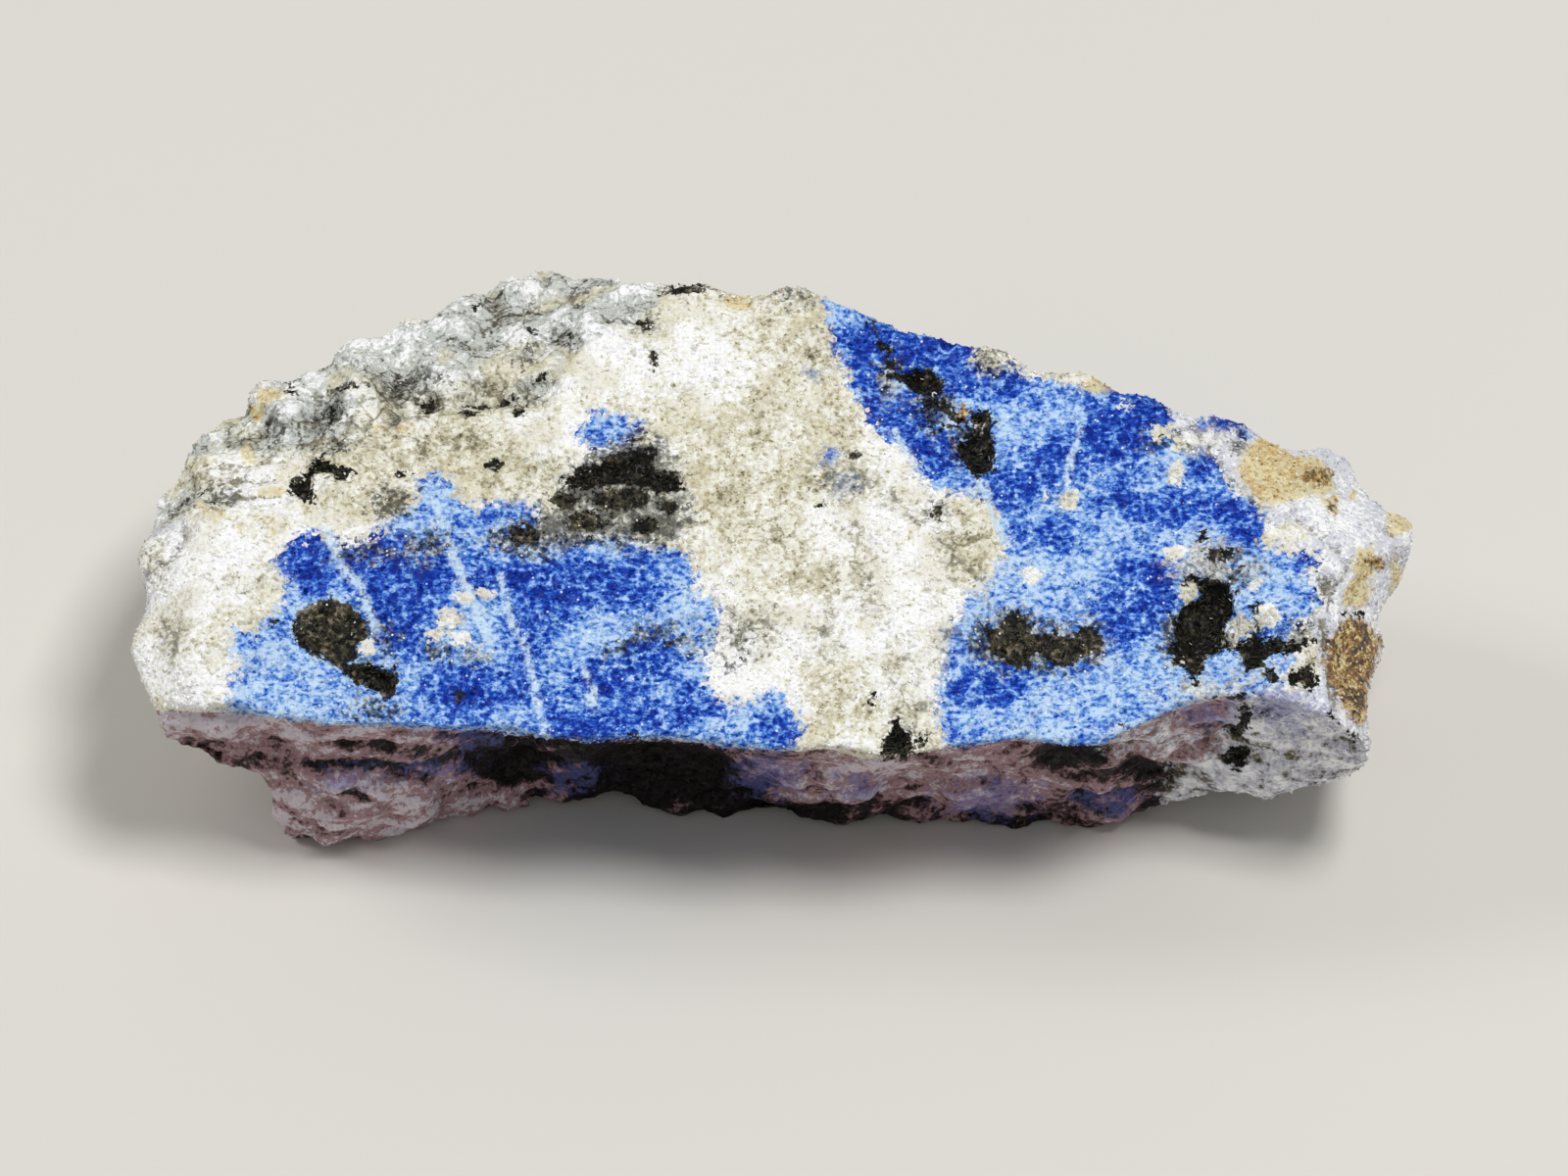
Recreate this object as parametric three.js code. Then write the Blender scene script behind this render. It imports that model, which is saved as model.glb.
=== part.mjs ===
// Rough vishnevite: one broken stone with a flat showy face, an undercut front and a rough back.
// Millimetres, +Z up, +X along the stone, +Y away from the showy face's lower edge.
import * as THREE from "three";
import { ImprovedNoise } from "three/addons/math/ImprovedNoise.js";
import { mergeVertices } from "three/addons/utils/BufferGeometryUtils.js";

// Driving dimensions. Outlines are drawn as someone sees the stone who looks down on it at
// VIEW_ANGLE: across is measured to the right and rise upwards in that view, both in millimetres.
const VIEW_ANGLE = THREE.MathUtils.degToRad(50);
const FACE_HEIGHT = 20; // height of the showy face at its lower edge
const FACE_TILT = 0.233; // how much the face climbs per millimetre of rise
const FACE_START = 8.5; // rise of the lower edge where the face has FACE_HEIGHT

// Slopes around the face, in millimetres of fall per millimetre.
const SLOPE_FALL = 0.56; // behind the ridge at the upper left
const STEEP_FALL = 1.15; // right of the steep crease
const GENTLE_FALL = 0.42; // right of the gentle crease
const LEFT_FALL = 0.6; // where the left end rolls over
const LEFT_ROUNDING = 4; // the left end rolls over within this distance of its outline
const END_REACH = 0.08; // share of the length over which the face is fitted to an end's outline
const END_BULGE = 2.4; // how far the middle of each end swells out

// Broken-stone relief: folded noise leaves crisp ridges between hollow chips.
const BLOCKS = { size: 15, height: 1.6, shift: 7.3 };
const CHIPS = { size: 8, height: 1.3, shift: 3.1 };
const GRIT = { size: 4.4, height: 0.9, shift: 11.7 };

// Ledges where the rock broke along its layers: each layer juts out more towards its top.
const LAYER = { thickness: 5.5, jut: 1.5, dip: 0.16, waviness: 3.2, waveLength: 14, shift: 5.1 };

// The base is hollowed between the places that touch the floor, except for a flat resting spot.
const RESTING_SPOT = { x: 0, y: 13, halfLength: 16, halfWidth: 8, margin: 1.8 };
const BASE_HOLLOW = { depth: 2.6, size: 9, shift: 2.5 };
const FLOOR_CONTACT = 0.1; // base points lower than this lie on the floor

// How much relief and ledges each side takes, at its edges and in its middle.
const FRONT_ROUGHNESS = { edge: 0.3, middle: 0.9, ledges: 0.5 };
const FACE_ROUGHNESS = { edge: 0.2, middle: 0.45, ledges: 0 };
const BACK_ROUGHNESS = { edge: 0.5, middle: 1.6, ledges: 1 };
const BASE_ROUGHNESS = { edge: 0.3, middle: 0.6, ledges: 0 };
const END_ROUGHNESS = { relief: 1.5, ledges: 0.8 };

// Mesh fineness.
const STATIONS = 72; // rings along the stone
const FRONT_ROWS = 13;
const FACE_ROWS = 22;
const BACK_ROWS = 15;
const BASE_ROWS = 10;
const END_ROWS = 8;
const END_START = 6; // row of an end's ring, on the front, from which the end is closed
const END_CROWDING = 0.3; // how much closer the rings stand at the two ends
const MERGE_DISTANCE = 1e-3;
const STONE_COLOUR = 0xb9bcc4;

// Lower outline of the front, where it turns under: [across, rise, height above the floor].
const foot = [
  [-47.6, 8.2, 15.0],
  [-45.3, 6.7, 12.6],
  [-43.2, 5.6, 10.8],
  [-41.0, 5.1, 9.4],
  [-40.0, 4.5, 8.2],
  [-39.5, 2.8, 4.4],
  [-39.3, 1.0, 1.2],
  [-38.0, 0.0, 0],
  [-34.6, -0.5, 0],
  [-31.5, -0.1, 0],
  [-28.0, 0.7, 0],
  [-24.5, 1.8, 0],
  [-21.5, 2.7, 0.6],
  [-16.0, 3.0, 1.0],
  [-12.5, 3.0, 1.0],
  [-8.0, 2.1, 0.4],
  [-3.5, 1.6, 0],
  [2.0, 1.1, 0],
  [7.0, 1.5, 0.4],
  [11.5, 1.9, 0.8],
  [15.0, 1.4, 0],
  [20.0, 0.9, 0],
  [25.0, 0.95, 0],
  [29.0, 1.75, 0.8],
  [31.8, 2.9, 3.0],
  [35.8, 4.0, 6.6],
  [38.5, 3.3, 6.4],
  [41.0, 4.1, 7.2],
  [44.2, 5.0, 8.6],
  [46.4, 6.1, 10.0],
];

// Crisp edge between the showy face and the front: [across, rise].
const rim = [
  [-48.1, 10.7],
  [-46.4, 10.8],
  [-42.0, 10.5],
  [-38.0, 10.1],
  [-35.0, 9.6],
  [-30.0, 9.5],
  [-26.0, 9.1],
  [-22.5, 9.1],
  [-18.5, 8.5],
  [-14.0, 8.2],
  [-9.0, 8.5],
  [-5.0, 8.1],
  [1.3, 7.4],
  [4.0, 7.7],
  [7.0, 6.95],
  [10.0, 7.0],
  [14.0, 7.8],
  [19.0, 8.5],
  [23.5, 7.5],
  [25.5, 8.0],
  [28.0, 9.4],
  [32.0, 11.1],
  [34.5, 11.8],
  [36.5, 11.5],
  [38.0, 11.7],
  [42.0, 10.6],
  [43.6, 9.9],
  [45.0, 8.5],
  [46.2, 7.6],
];

// Upper outline, where the back of the stone begins: [across, rise].
const crest = [
  [-46.2, 31.2],
  [-45.5, 31.8],
  [-44.6, 32.3],
  [-43.2, 31.95],
  [-42.1, 33.1],
  [-41.2, 35.0],
  [-40.8, 36.2],
  [-39.6, 37.05],
  [-38.3, 36.8],
  [-36.2, 36.9],
  [-35.75, 36.3],
  [-34.9, 38.1],
  [-34.2, 38.5],
  [-32.0, 39.2],
  [-31.0, 39.3],
  [-30.2, 39.1],
  [-28.4, 40.0],
  [-28.0, 40.9],
  [-26.3, 41.55],
  [-25.0, 42.7],
  [-23.4, 43.95],
  [-20.8, 44.6],
  [-20.2, 44.3],
  [-18.8, 44.9],
  [-15.2, 45.5],
  [-13.0, 44.9],
  [-11.5, 44.3],
  [-9.0, 43.9],
  [-8.0, 44.2],
  [-6.5, 44.1],
  [-5.0, 43.3],
  [-1.4, 42.6],
  [0.2, 43.6],
  [1.3, 43.95],
  [3.8, 43.2],
  [5.2, 42.3],
  [8.0, 41.3],
  [10.8, 39.7],
  [14.0, 39.5],
  [16.8, 39.0],
  [18.5, 38.4],
  [20.6, 36.9],
  [21.6, 36.8],
  [23.4, 37.4],
  [25.0, 36.9],
  [27.0, 35.4],
  [29.3, 35.0],
  [31.5, 34.1],
  [32.8, 33.4],
  [34.8, 33.3],
  [37.4, 32.5],
  [39.4, 31.5],
  [43.3, 30.9],
  [44.6, 30.4],
  [45.5, 29.5],
  [46.2, 28.1],
  [47.7, 26.8],
  [49.2, 25.8],
  [50.1, 24.9],
];

// Outlines of the face's two ends between the rim and the crest: [rise, across].
const leftEnd = [
  [10.7, -48.1],
  [12.2, -48.9],
  [13.8, -49.6],
  [15.2, -50.3],
  [16.8, -49.6],
  [18.4, -48.9],
  [20.2, -49.4],
  [22.4, -49.95],
  [24.2, -48.9],
  [26.0, -48.3],
  [27.4, -47.5],
  [28.7, -46.3],
  [31.2, -46.2],
];
const rightEnd = [
  [7.6, 46.2],
  [11.5, 46.1],
  [13.0, 46.6],
  [15.8, 47.8],
  [17.2, 46.9],
  [19.6, 48.3],
  [20.8, 49.1],
  [24.9, 50.1],
];

// Whole outlines of the two ends, from the foot to the crest: [rise, across].
const leftOutline = [
  [5.6, -43.2],
  [6.7, -45.3],
  [8.2, -47.6],
  ...leftEnd,
];
const rightOutline = [
  [4.1, 41.0],
  [5.0, 44.2],
  [6.1, 46.2],
  ...rightEnd,
  [26.8, 47.7],
  [28.1, 46.2],
];

// The weathered slope at the upper left begins at this ridge: [across, rise of the ridge].
const ridge = [
  [-50.0, 22.6],
  [-45.0, 25.4],
  [-41.5, 24.9],
  [-38.5, 27.0],
  [-36.0, 30.2],
  [-33.0, 31.8],
  [-28.0, 33.8],
  [-23.0, 35.0],
  [-18.0, 35.6],
  [-16.0, 38.0],
  [-12.5, 40.8],
  [-9.0, 43.6],
  [-8.0, 60.0],
];

// The right end breaks down at a steep crease, and above it at a gentle one: [rise, across].
const steepCrease = [
  [4.0, 43.6],
  [10.0, 43.5],
  [14.5, 42.8],
  [18.5, 43.3],
  [21.7, 45.0],
  [24.5, 48.5],
  [26.0, 52.0],
];
const gentleCrease = [
  [15.0, 47.0],
  [22.5, 44.6],
  [24.0, 43.0],
  [25.5, 41.0],
  [26.6, 38.2],
  [28.7, 35.3],
  [30.5, 34.3],
  [33.5, 32.6],
];

// How far the front is hollowed behind a straight line from foot to rim: [across, depth].
// Each line stands at its own share of the front's height.
const HOLLOW_HEIGHTS = { low: 0.3, middle: 0.6, underRim: 0.88 };
const hollowLow = [
  [-47.0, 0],
  [-40.0, 0.3],
  [-38.0, -1.2],
  [-34.0, -1.6],
  [-28.0, -1.0],
  [-23.0, 1.5],
  [-19.0, 3.0],
  [-15.0, 1.5],
  [-11.0, 3.2],
  [-5.0, 3.4],
  [0.0, 1.5],
  [5.0, 0.8],
  [10.0, 1.4],
  [14.0, 0.2],
  [20.0, 0.6],
  [26.0, 1.2],
  [32.0, 0.8],
  [36.0, 0],
];
const hollowMiddle = [
  [-47.0, 0.3],
  [-41.0, 0.8],
  [-37.0, 0.4],
  [-33.0, 0],
  [-28.0, 0.6],
  [-23.0, 2.6],
  [-19.5, 3.2],
  [-15.0, 1.2],
  [-12.0, 2.6],
  [-6.0, 3.4],
  [-2.0, 1.6],
  [4.0, 0.4],
  [8.0, 1.4],
  [12.0, 0.4],
  [18.0, 0.2],
  [23.0, 2.0],
  [27.0, 1.2],
  [31.0, 0.2],
  [36.0, 0.5],
  [40.0, 0],
];
const hollowUnderRim = [
  [-47.0, 1.0],
  [-42.0, 1.4],
  [-38.0, 0.8],
  [-33.0, 0.9],
  [-28.0, 1.1],
  [-22.0, 1.6],
  [-19.0, 1.9],
  [-14.0, 0.9],
  [-9.0, 1.8],
  [-5.0, 1.8],
  [0.0, 0.9],
  [6.0, 0.8],
  [11.6, 1.3],
  [16.0, 0.5],
  [21.0, 1.5],
  [24.0, 2.3],
  [28.0, 1.0],
  [33.0, 0.6],
  [36.5, 0.3],
  [40.0, 0],
];

// Lines along the hidden back and base: [x, y, z].
const backShoulder = [
  [-45.0, 25.4, 17.0],
  [-40.0, 30.6, 18.0],
  [-33.0, 33.0, 19.0],
  [-25.0, 37.6, 18.5],
  [-15.0, 40.0, 20.5],
  [-8.0, 37.8, 22.0],
  [0.0, 36.0, 23.0],
  [8.0, 33.5, 22.0],
  [16.0, 31.2, 21.5],
  [24.0, 28.8, 21.0],
  [32.0, 25.8, 20.0],
  [40.0, 23.8, 18.5],
  [46.0, 22.0, 16.5],
  [49.4, 18.6, 14.0],
];
const backMiddle = [
  [-44.5, 27.0, 11.0],
  [-38.0, 31.5, 12.0],
  [-30.0, 36.0, 11.0],
  [-22.0, 38.0, 12.5],
  [-14.0, 40.0, 12.0],
  [-6.0, 38.5, 13.0],
  [2.0, 36.0, 12.0],
  [10.0, 33.0, 12.5],
  [18.0, 31.0, 12.0],
  [26.0, 28.5, 11.5],
  [34.0, 26.5, 11.0],
  [42.0, 24.0, 10.0],
  [48.0, 18.5, 8.5],
];
const backFoot = [
  [-43.0, 22.5, 4.5],
  [-38.0, 26.0, 0.8],
  [-30.0, 30.0, 0],
  [-20.0, 32.5, 0],
  [-10.0, 33.0, 0],
  [0.0, 30.5, 0],
  [10.0, 28.5, 0],
  [20.0, 26.0, 0],
  [30.0, 23.5, 0],
  [38.0, 20.0, 0],
  [43.0, 16.5, 1.6],
  [46.0, 14.0, 4.0],
];
const belly = [
  [-44.5, 12.5, 7.5],
  [-41.5, 13.0, 2.0],
  [-39.0, 13.0, 0],
  [0.0, 13.0, 0],
  [38.0, 11.0, 0],
  [42.0, 9.0, 2.4],
  [46.0, 7.5, 6.4],
];

// Swellings and pits of the showy face and its slope: [across, rise, radius, height].
const lumps = [
  [7, 22, 15, 0.9],
  [-13, 17, 13, -0.7],
  [-2, 37, 9, 0.8],
  [24, 29, 11, 0.6],
  [24, 13, 9, -0.6],
  [-27, 21, 8, 0.7],
  [-44, 18, 7, 0.9],
  [40, 29, 4.5, 0.9],
  [33.5, 17, 4, -1.5],
  [36, 13.6, 2.6, -0.7],
  [38.6, 16.2, 2.4, -0.8],
  [41.5, 13.4, 1.8, -0.8],
  [37, 18, 1.8, 0.8],
  [33.5, 22.3, 3, 0.7],
  [-35, 16.8, 3.2, -0.7],
  [-31.5, 12.8, 2.4, -0.9],
  [-37, 28.6, 2.4, -1.2],
  [-35, 28.2, 1.4, 0.8],
  [-41, 28.5, 3.5, 0.9],
  [-44.6, 30, 2.6, 1.4],
  [-46.5, 23.6, 2.2, -0.9],
  [-42.6, 32.2, 1.8, -1.1],
  [-38.6, 34.4, 3.6, 1.5],
  [-35.7, 34.8, 1.8, -1.3],
  [-32.6, 36.4, 3.2, 1.4],
  [-29.4, 37, 1.8, -1.1],
  [-25.6, 38.6, 4.2, 1.4],
  [-27.5, 34.6, 2.8, -1.1],
  [-22.5, 34.6, 3.0, -1.3],
  [-19, 34.4, 2.2, -1.0],
  [-19.6, 38.8, 4.4, 1.2],
  [-20, 31.6, 3.8, 1.0],
  [-15, 42, 3.6, 1.0],
  [-10.4, 40.8, 1.8, -0.9],
  [-3.2, 42.6, 1.8, -1.0],
  [17.4, 37.8, 2.4, 0.8],
  [24.2, 36.4, 2.6, 0.9],
  [11.5, 36.2, 2.4, -0.6],
  [15.8, 30.8, 2.8, -0.6],
  [19, 15.6, 3.4, -0.6],
  [10.4, 8.2, 1.8, -0.8],
];

const noise = new ImprovedNoise();

function noiseAt(point, { size, shift }) {
  const x = point.x / size + shift;
  const y = point.y / size + 2 * shift;
  const z = point.z / size + 3 * shift;
  return noise.noise(x, y, z);
}

// A column of a line at a position of its first column, straight between the line's points.
function valueAt(line, position, column = 1) {
  if (position <= line[0][0]) {
    return line[0][column];
  }
  for (let i = 1; i < line.length; i += 1) {
    if (position <= line[i][0]) {
      const part = (position - line[i - 1][0]) / (line[i][0] - line[i - 1][0]);
      return THREE.MathUtils.lerp(line[i - 1][column], line[i][column], part);
    }
  }
  return line.at(-1)[column];
}

// The point at a fraction of a line's length along X, with its other numbers interpolated.
function pointAlong(line, fraction) {
  const across = THREE.MathUtils.lerp(line[0][0], line.at(-1)[0], fraction);
  return line[0].map((value, column) => (column ? valueAt(line, across, column) : across));
}

function fromView(across, rise, height) {
  const y = (rise - height * Math.cos(VIEW_ANGLE)) / Math.sin(VIEW_ANGLE);
  return new THREE.Vector3(across, y, height);
}

// Height of the showy face and the slopes around it, as seen from the front.
function faceHeight(across, rise) {
  const plain = FACE_HEIGHT + FACE_TILT * (rise - FACE_START);
  const behindRidge = Math.max(0, rise - valueAt(ridge, across));
  const pastSteep = Math.max(0, across - valueAt(steepCrease, rise));
  const pastGentle = Math.max(0, across - valueAt(gentleCrease, rise));
  const atLeft = Math.max(0, valueAt(leftEnd, rise) + LEFT_ROUNDING - across);
  const rightDrop = Math.max(STEEP_FALL * pastSteep, GENTLE_FALL * pastGentle);
  let height = plain - SLOPE_FALL * behindRidge - rightDrop - LEFT_FALL * atLeft;
  for (const [lumpAcross, lumpRise, radius, lumpHeight] of lumps) {
    const distance = Math.hypot(across - lumpAcross, rise - lumpRise) / radius;
    if (distance < 1) {
      height += lumpHeight * (1 - distance ** 2) ** 2;
    }
  }
  return height;
}

// A point of the front, from the foot (0) to the rim (1).
function frontPoint(fraction, part) {
  const [footAcross, footRise, footHeight] = pointAlong(foot, fraction);
  const [rimAcross, rimRise] = pointAlong(rim, fraction);
  const low = fromView(footAcross, footRise, footHeight);
  const high = fromView(rimAcross, rimRise, faceHeight(rimAcross, rimRise));
  const point = low.lerp(high, part);
  const hollows = [
    [0, 0],
    [HOLLOW_HEIGHTS.low, valueAt(hollowLow, point.x)],
    [HOLLOW_HEIGHTS.middle, valueAt(hollowMiddle, point.x)],
    [HOLLOW_HEIGHTS.underRim, valueAt(hollowUnderRim, point.x)],
    [1, 0],
  ];
  point.y += valueAt(hollows, part);
  return point;
}

// A point of the showy face, from the rim (0) to the crest (1).
function facePoint(fraction, part) {
  const [rimAcross, rimRise] = pointAlong(rim, fraction);
  const [crestAcross, crestRise] = pointAlong(crest, fraction);
  const rise = THREE.MathUtils.lerp(rimRise, crestRise, part);
  const plainLeft = THREE.MathUtils.lerp(rim[0][0], crest[0][0], part);
  const plainRight = THREE.MathUtils.lerp(rim.at(-1)[0], crest.at(-1)[0], part);
  const nearLeft = Math.max(0, 1 - fraction / END_REACH) ** 2;
  const nearRight = Math.max(0, 1 - (1 - fraction) / END_REACH) ** 2;
  let across = THREE.MathUtils.lerp(rimAcross, crestAcross, part);
  across += nearLeft * (valueAt(leftEnd, rise) - plainLeft);
  across += nearRight * (valueAt(rightEnd, rise) - plainRight);
  return fromView(across, rise, faceHeight(across, rise));
}

// A point of the hidden back, from the crest (0) to the back foot (1).
function backPoint(fraction, part) {
  const [crestAcross, crestRise] = pointAlong(crest, fraction);
  const top = fromView(crestAcross, crestRise, faceHeight(crestAcross, crestRise));
  const line = [
    top,
    new THREE.Vector3(...pointAlong(backShoulder, fraction)),
    new THREE.Vector3(...pointAlong(backMiddle, fraction)),
    new THREE.Vector3(...pointAlong(backFoot, fraction)),
  ];
  const span = part * (line.length - 1);
  const index = Math.min(Math.floor(span), line.length - 2);
  return line[index].clone().lerp(line[index + 1], span - index);
}

// A point of the base, from the back foot (0) over the belly to the front foot (1).
function basePoint(fraction, part) {
  const back = new THREE.Vector3(...pointAlong(backFoot, fraction));
  const middle = new THREE.Vector3(...pointAlong(belly, fraction));
  const front = fromView(...pointAlong(foot, fraction));
  if (part < 0.5) {
    return back.lerp(middle, part * 2);
  }
  return middle.lerp(front, part * 2 - 1);
}

// The rows around the stone: what makes a point of each, and how much relief and ledges it takes.
function makeRows() {
  const rows = [];
  const add = (make, count, { edge, middle, ledges }) => {
    for (let i = 0; i < count; i += 1) {
      const part = i / count;
      const nearEdge = (2 * part - 1) ** 2;
      const amount = THREE.MathUtils.lerp(middle, edge, nearEdge);
      rows.push({ make, part, relief: amount, ledges: ledges * (1 - nearEdge) });
    }
  };
  add(frontPoint, FRONT_ROWS, FRONT_ROUGHNESS);
  add(facePoint, FACE_ROWS, FACE_ROUGHNESS);
  add(backPoint, BACK_ROWS, BACK_ROUGHNESS);
  add(basePoint, BASE_ROWS, BASE_ROUGHNESS);
  return rows;
}

function reliefAt(point) {
  const blocks = BLOCKS.height * (Math.abs(noiseAt(point, BLOCKS)) - 0.25);
  const chips = CHIPS.height * (0.22 - Math.abs(noiseAt(point, CHIPS)));
  return blocks + chips + GRIT.height * noiseAt(point, GRIT);
}

function ledgeAt(point) {
  const wave = LAYER.waviness * noiseAt(point, { size: LAYER.waveLength, shift: LAYER.shift });
  const layer = (point.z + LAYER.dip * point.x + wave) / LAYER.thickness;
  return LAYER.jut * (layer - Math.floor(layer) - 0.5);
}

// Height of the base above the floor: nothing at the resting spot.
function baseHeight(point) {
  const { x, y, halfLength, halfWidth, margin } = RESTING_SPOT;
  const away = Math.hypot((point.x - x) / halfLength, (point.y - y) / halfWidth);
  const open = THREE.MathUtils.smoothstep(away, 1, margin);
  return BASE_HOLLOW.depth * open * Math.max(0, noiseAt({ ...point, z: 0 }, BASE_HOLLOW));
}

// Rings of points along the stone, roughened along their normals and set down on the floor.
function makeRings() {
  const rows = makeRows();
  const rings = [];
  for (let i = 0; i < STATIONS; i += 1) {
    const even = i / (STATIONS - 1);
    const fraction = even - END_CROWDING * Math.sin(2 * Math.PI * even) / (2 * Math.PI);
    rings.push(rows.map(({ make, part }) => make(fraction, part)));
  }
  const count = rows.length;
  return rings.map((ring, i) => ring.map((point, j) => {
    const before = rings[Math.max(0, i - 1)][j];
    const after = rings[Math.min(STATIONS - 1, i + 1)][j];
    const along = after.clone().sub(before);
    const around = ring[(j + 1) % count].clone().sub(ring[(j + count - 1) % count]);
    const outward = along.cross(around).normalize();
    const { make, part, relief, ledges } = rows[j];
    const height = relief * reliefAt(point) + ledges * ledgeAt(point);
    const made = point.clone().addScaledVector(outward, height);
    const onFloor = make === basePoint && part > 0 && point.z < FLOOR_CONTACT;
    made.z = onFloor ? baseHeight(point) : Math.max(0, made.z);
    return made;
  }));
}

// Closes an end of the stone: rows of points run down from the face's side of its ring to the
// base's side, and swell outward no further than the end's outline as seen from the front.
function closeEnd(positions, indices, first, count, outline, outward) {
  const half = count / 2;
  const ringIndex = (j) => first + (END_START + j + count) % count;
  const inside = positions.length;
  for (let j = 1; j < half; j += 1) {
    const upper = positions[ringIndex(j)];
    const lower = positions[ringIndex(-j)];
    for (let k = 1; k < END_ROWS; k += 1) {
      const point = upper.clone().lerp(lower, k / END_ROWS);
      const swell = Math.sin(Math.PI * k / END_ROWS) * Math.sqrt(Math.sin(Math.PI * j / half));
      const rough = END_ROUGHNESS.relief * reliefAt(point) + END_ROUGHNESS.ledges * ledgeAt(point);
      const reach = point.x * outward + swell * (END_BULGE + rough);
      const rise = point.y * Math.sin(VIEW_ANGLE) + point.z * Math.cos(VIEW_ANGLE);
      point.x = outward * Math.min(reach, valueAt(outline, rise) * outward);
      positions.push(point);
    }
  }
  const at = (j, k) => {
    if (k === 0 || j === 0 || j === half) {
      return ringIndex(j);
    }
    return k === END_ROWS ? ringIndex(-j) : inside + (j - 1) * (END_ROWS - 1) + k - 1;
  };
  for (let j = 0; j < half; j += 1) {
    for (let k = 0; k < END_ROWS; k += 1) {
      const corners = [at(j, k), at(j + 1, k), at(j + 1, k + 1), at(j, k + 1)];
      const [a, b, c, d] = outward < 0 ? corners : corners.reverse();
      for (const triangle of [[a, b, c], [a, c, d]]) {
        if (new Set(triangle).size === 3) {
          indices.push(...triangle);
        }
      }
    }
  }
}

function makeStone() {
  const rings = makeRings();
  const count = rings[0].length;
  const positions = rings.flat();
  const indices = [];
  const square = (i, j) => positions[i].distanceToSquared(positions[j]);
  for (let i = 0; i + 1 < rings.length; i += 1) {
    for (let j = 0; j < count; j += 1) {
      const a = i * count + j;
      const b = i * count + (j + 1) % count;
      const c = a + count;
      const d = b + count;
      if (square(a, d) < square(b, c)) {
        indices.push(a, c, d, a, d, b);
      } else {
        indices.push(a, c, b, b, c, d);
      }
    }
  }
  closeEnd(positions, indices, 0, count, leftOutline, -1);
  closeEnd(positions, indices, (rings.length - 1) * count, count, rightOutline, 1);
  const geometry = new THREE.BufferGeometry().setFromPoints(positions);
  geometry.setIndex(indices);
  return mergeVertices(geometry, MERGE_DISTANCE);
}

const geometry = makeStone();
geometry.computeVertexNormals();
geometry.computeBoundingBox();

const stone = new THREE.Mesh(
  geometry,
  new THREE.MeshStandardMaterial({ color: STONE_COLOUR, roughness: 0.75, metalness: 0 }),
);
stone.name = "stone";

// The part's origin is on the floor under the middle of the stone's box.
const middle = geometry.boundingBox.getCenter(new THREE.Vector3());
stone.position.set(-middle.x, -middle.y, -geometry.boundingBox.min.z);

const part = new THREE.Group();
part.add(stone);

export default part;
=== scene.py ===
"""Looks of a rough vishnevite: one broken stone of blue and cream minerals on a plain pale floor."""
import math

import bmesh
import bpy
import numpy as np
from bpy.props import FloatProperty, FloatVectorProperty, IntProperty, PointerProperty
from bpy.types import Operator, Panel, PropertyGroup
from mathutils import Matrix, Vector, noise
from mathutils.bvhtree import BVHTree


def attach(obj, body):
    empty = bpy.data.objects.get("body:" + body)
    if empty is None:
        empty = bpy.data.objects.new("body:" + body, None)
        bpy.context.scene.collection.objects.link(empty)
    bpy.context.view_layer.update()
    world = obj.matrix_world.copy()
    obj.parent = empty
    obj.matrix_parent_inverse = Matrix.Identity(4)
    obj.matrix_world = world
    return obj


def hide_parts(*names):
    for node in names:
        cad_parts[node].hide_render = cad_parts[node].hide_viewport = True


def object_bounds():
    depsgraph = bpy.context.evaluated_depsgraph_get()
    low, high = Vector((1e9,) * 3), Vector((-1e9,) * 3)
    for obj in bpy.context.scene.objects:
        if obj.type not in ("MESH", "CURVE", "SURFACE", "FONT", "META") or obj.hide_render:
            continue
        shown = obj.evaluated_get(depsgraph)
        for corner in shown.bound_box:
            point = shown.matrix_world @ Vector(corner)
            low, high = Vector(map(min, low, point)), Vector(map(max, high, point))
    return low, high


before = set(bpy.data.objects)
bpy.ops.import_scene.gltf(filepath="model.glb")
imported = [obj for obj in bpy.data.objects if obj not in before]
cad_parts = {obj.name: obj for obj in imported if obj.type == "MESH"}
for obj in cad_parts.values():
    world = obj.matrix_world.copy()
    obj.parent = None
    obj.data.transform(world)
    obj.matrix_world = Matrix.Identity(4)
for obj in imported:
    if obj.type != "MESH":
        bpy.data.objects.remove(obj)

bl_info = {
    "name": "Rough vishnevite",
    "version": (1, 0, 0),
    "blender": (4, 5, 0),
    "location": "3D View > Sidebar > Vishnevite",
    "description": "Gives a broken stone its relief, its minerals and its loose crystal grains",
    "category": "Object",
}

SOLID_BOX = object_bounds()
MM = 0.001

# The minerals are drawn as someone sees the stone who looks down on it at VIEW_ANGLE: across is
# measured to the right and rise upwards in that view, in millimetres. The stone's own X and Y are
# these shifts away from the drawing's.
VIEW_ANGLE = math.radians(50)
ACROSS_SHIFT = 0.0165
DEPTH_SHIFT = -16.5707
PICTURE_MIDDLE = (0.77, 20.0)  # across and rise at the middle of the picture
PICTURE_WIDTH = 123.08  # millimetres across the whole picture, at the stone
MIDDLE_HEIGHT = 15.0  # height on the stone that the camera looks at

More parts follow.
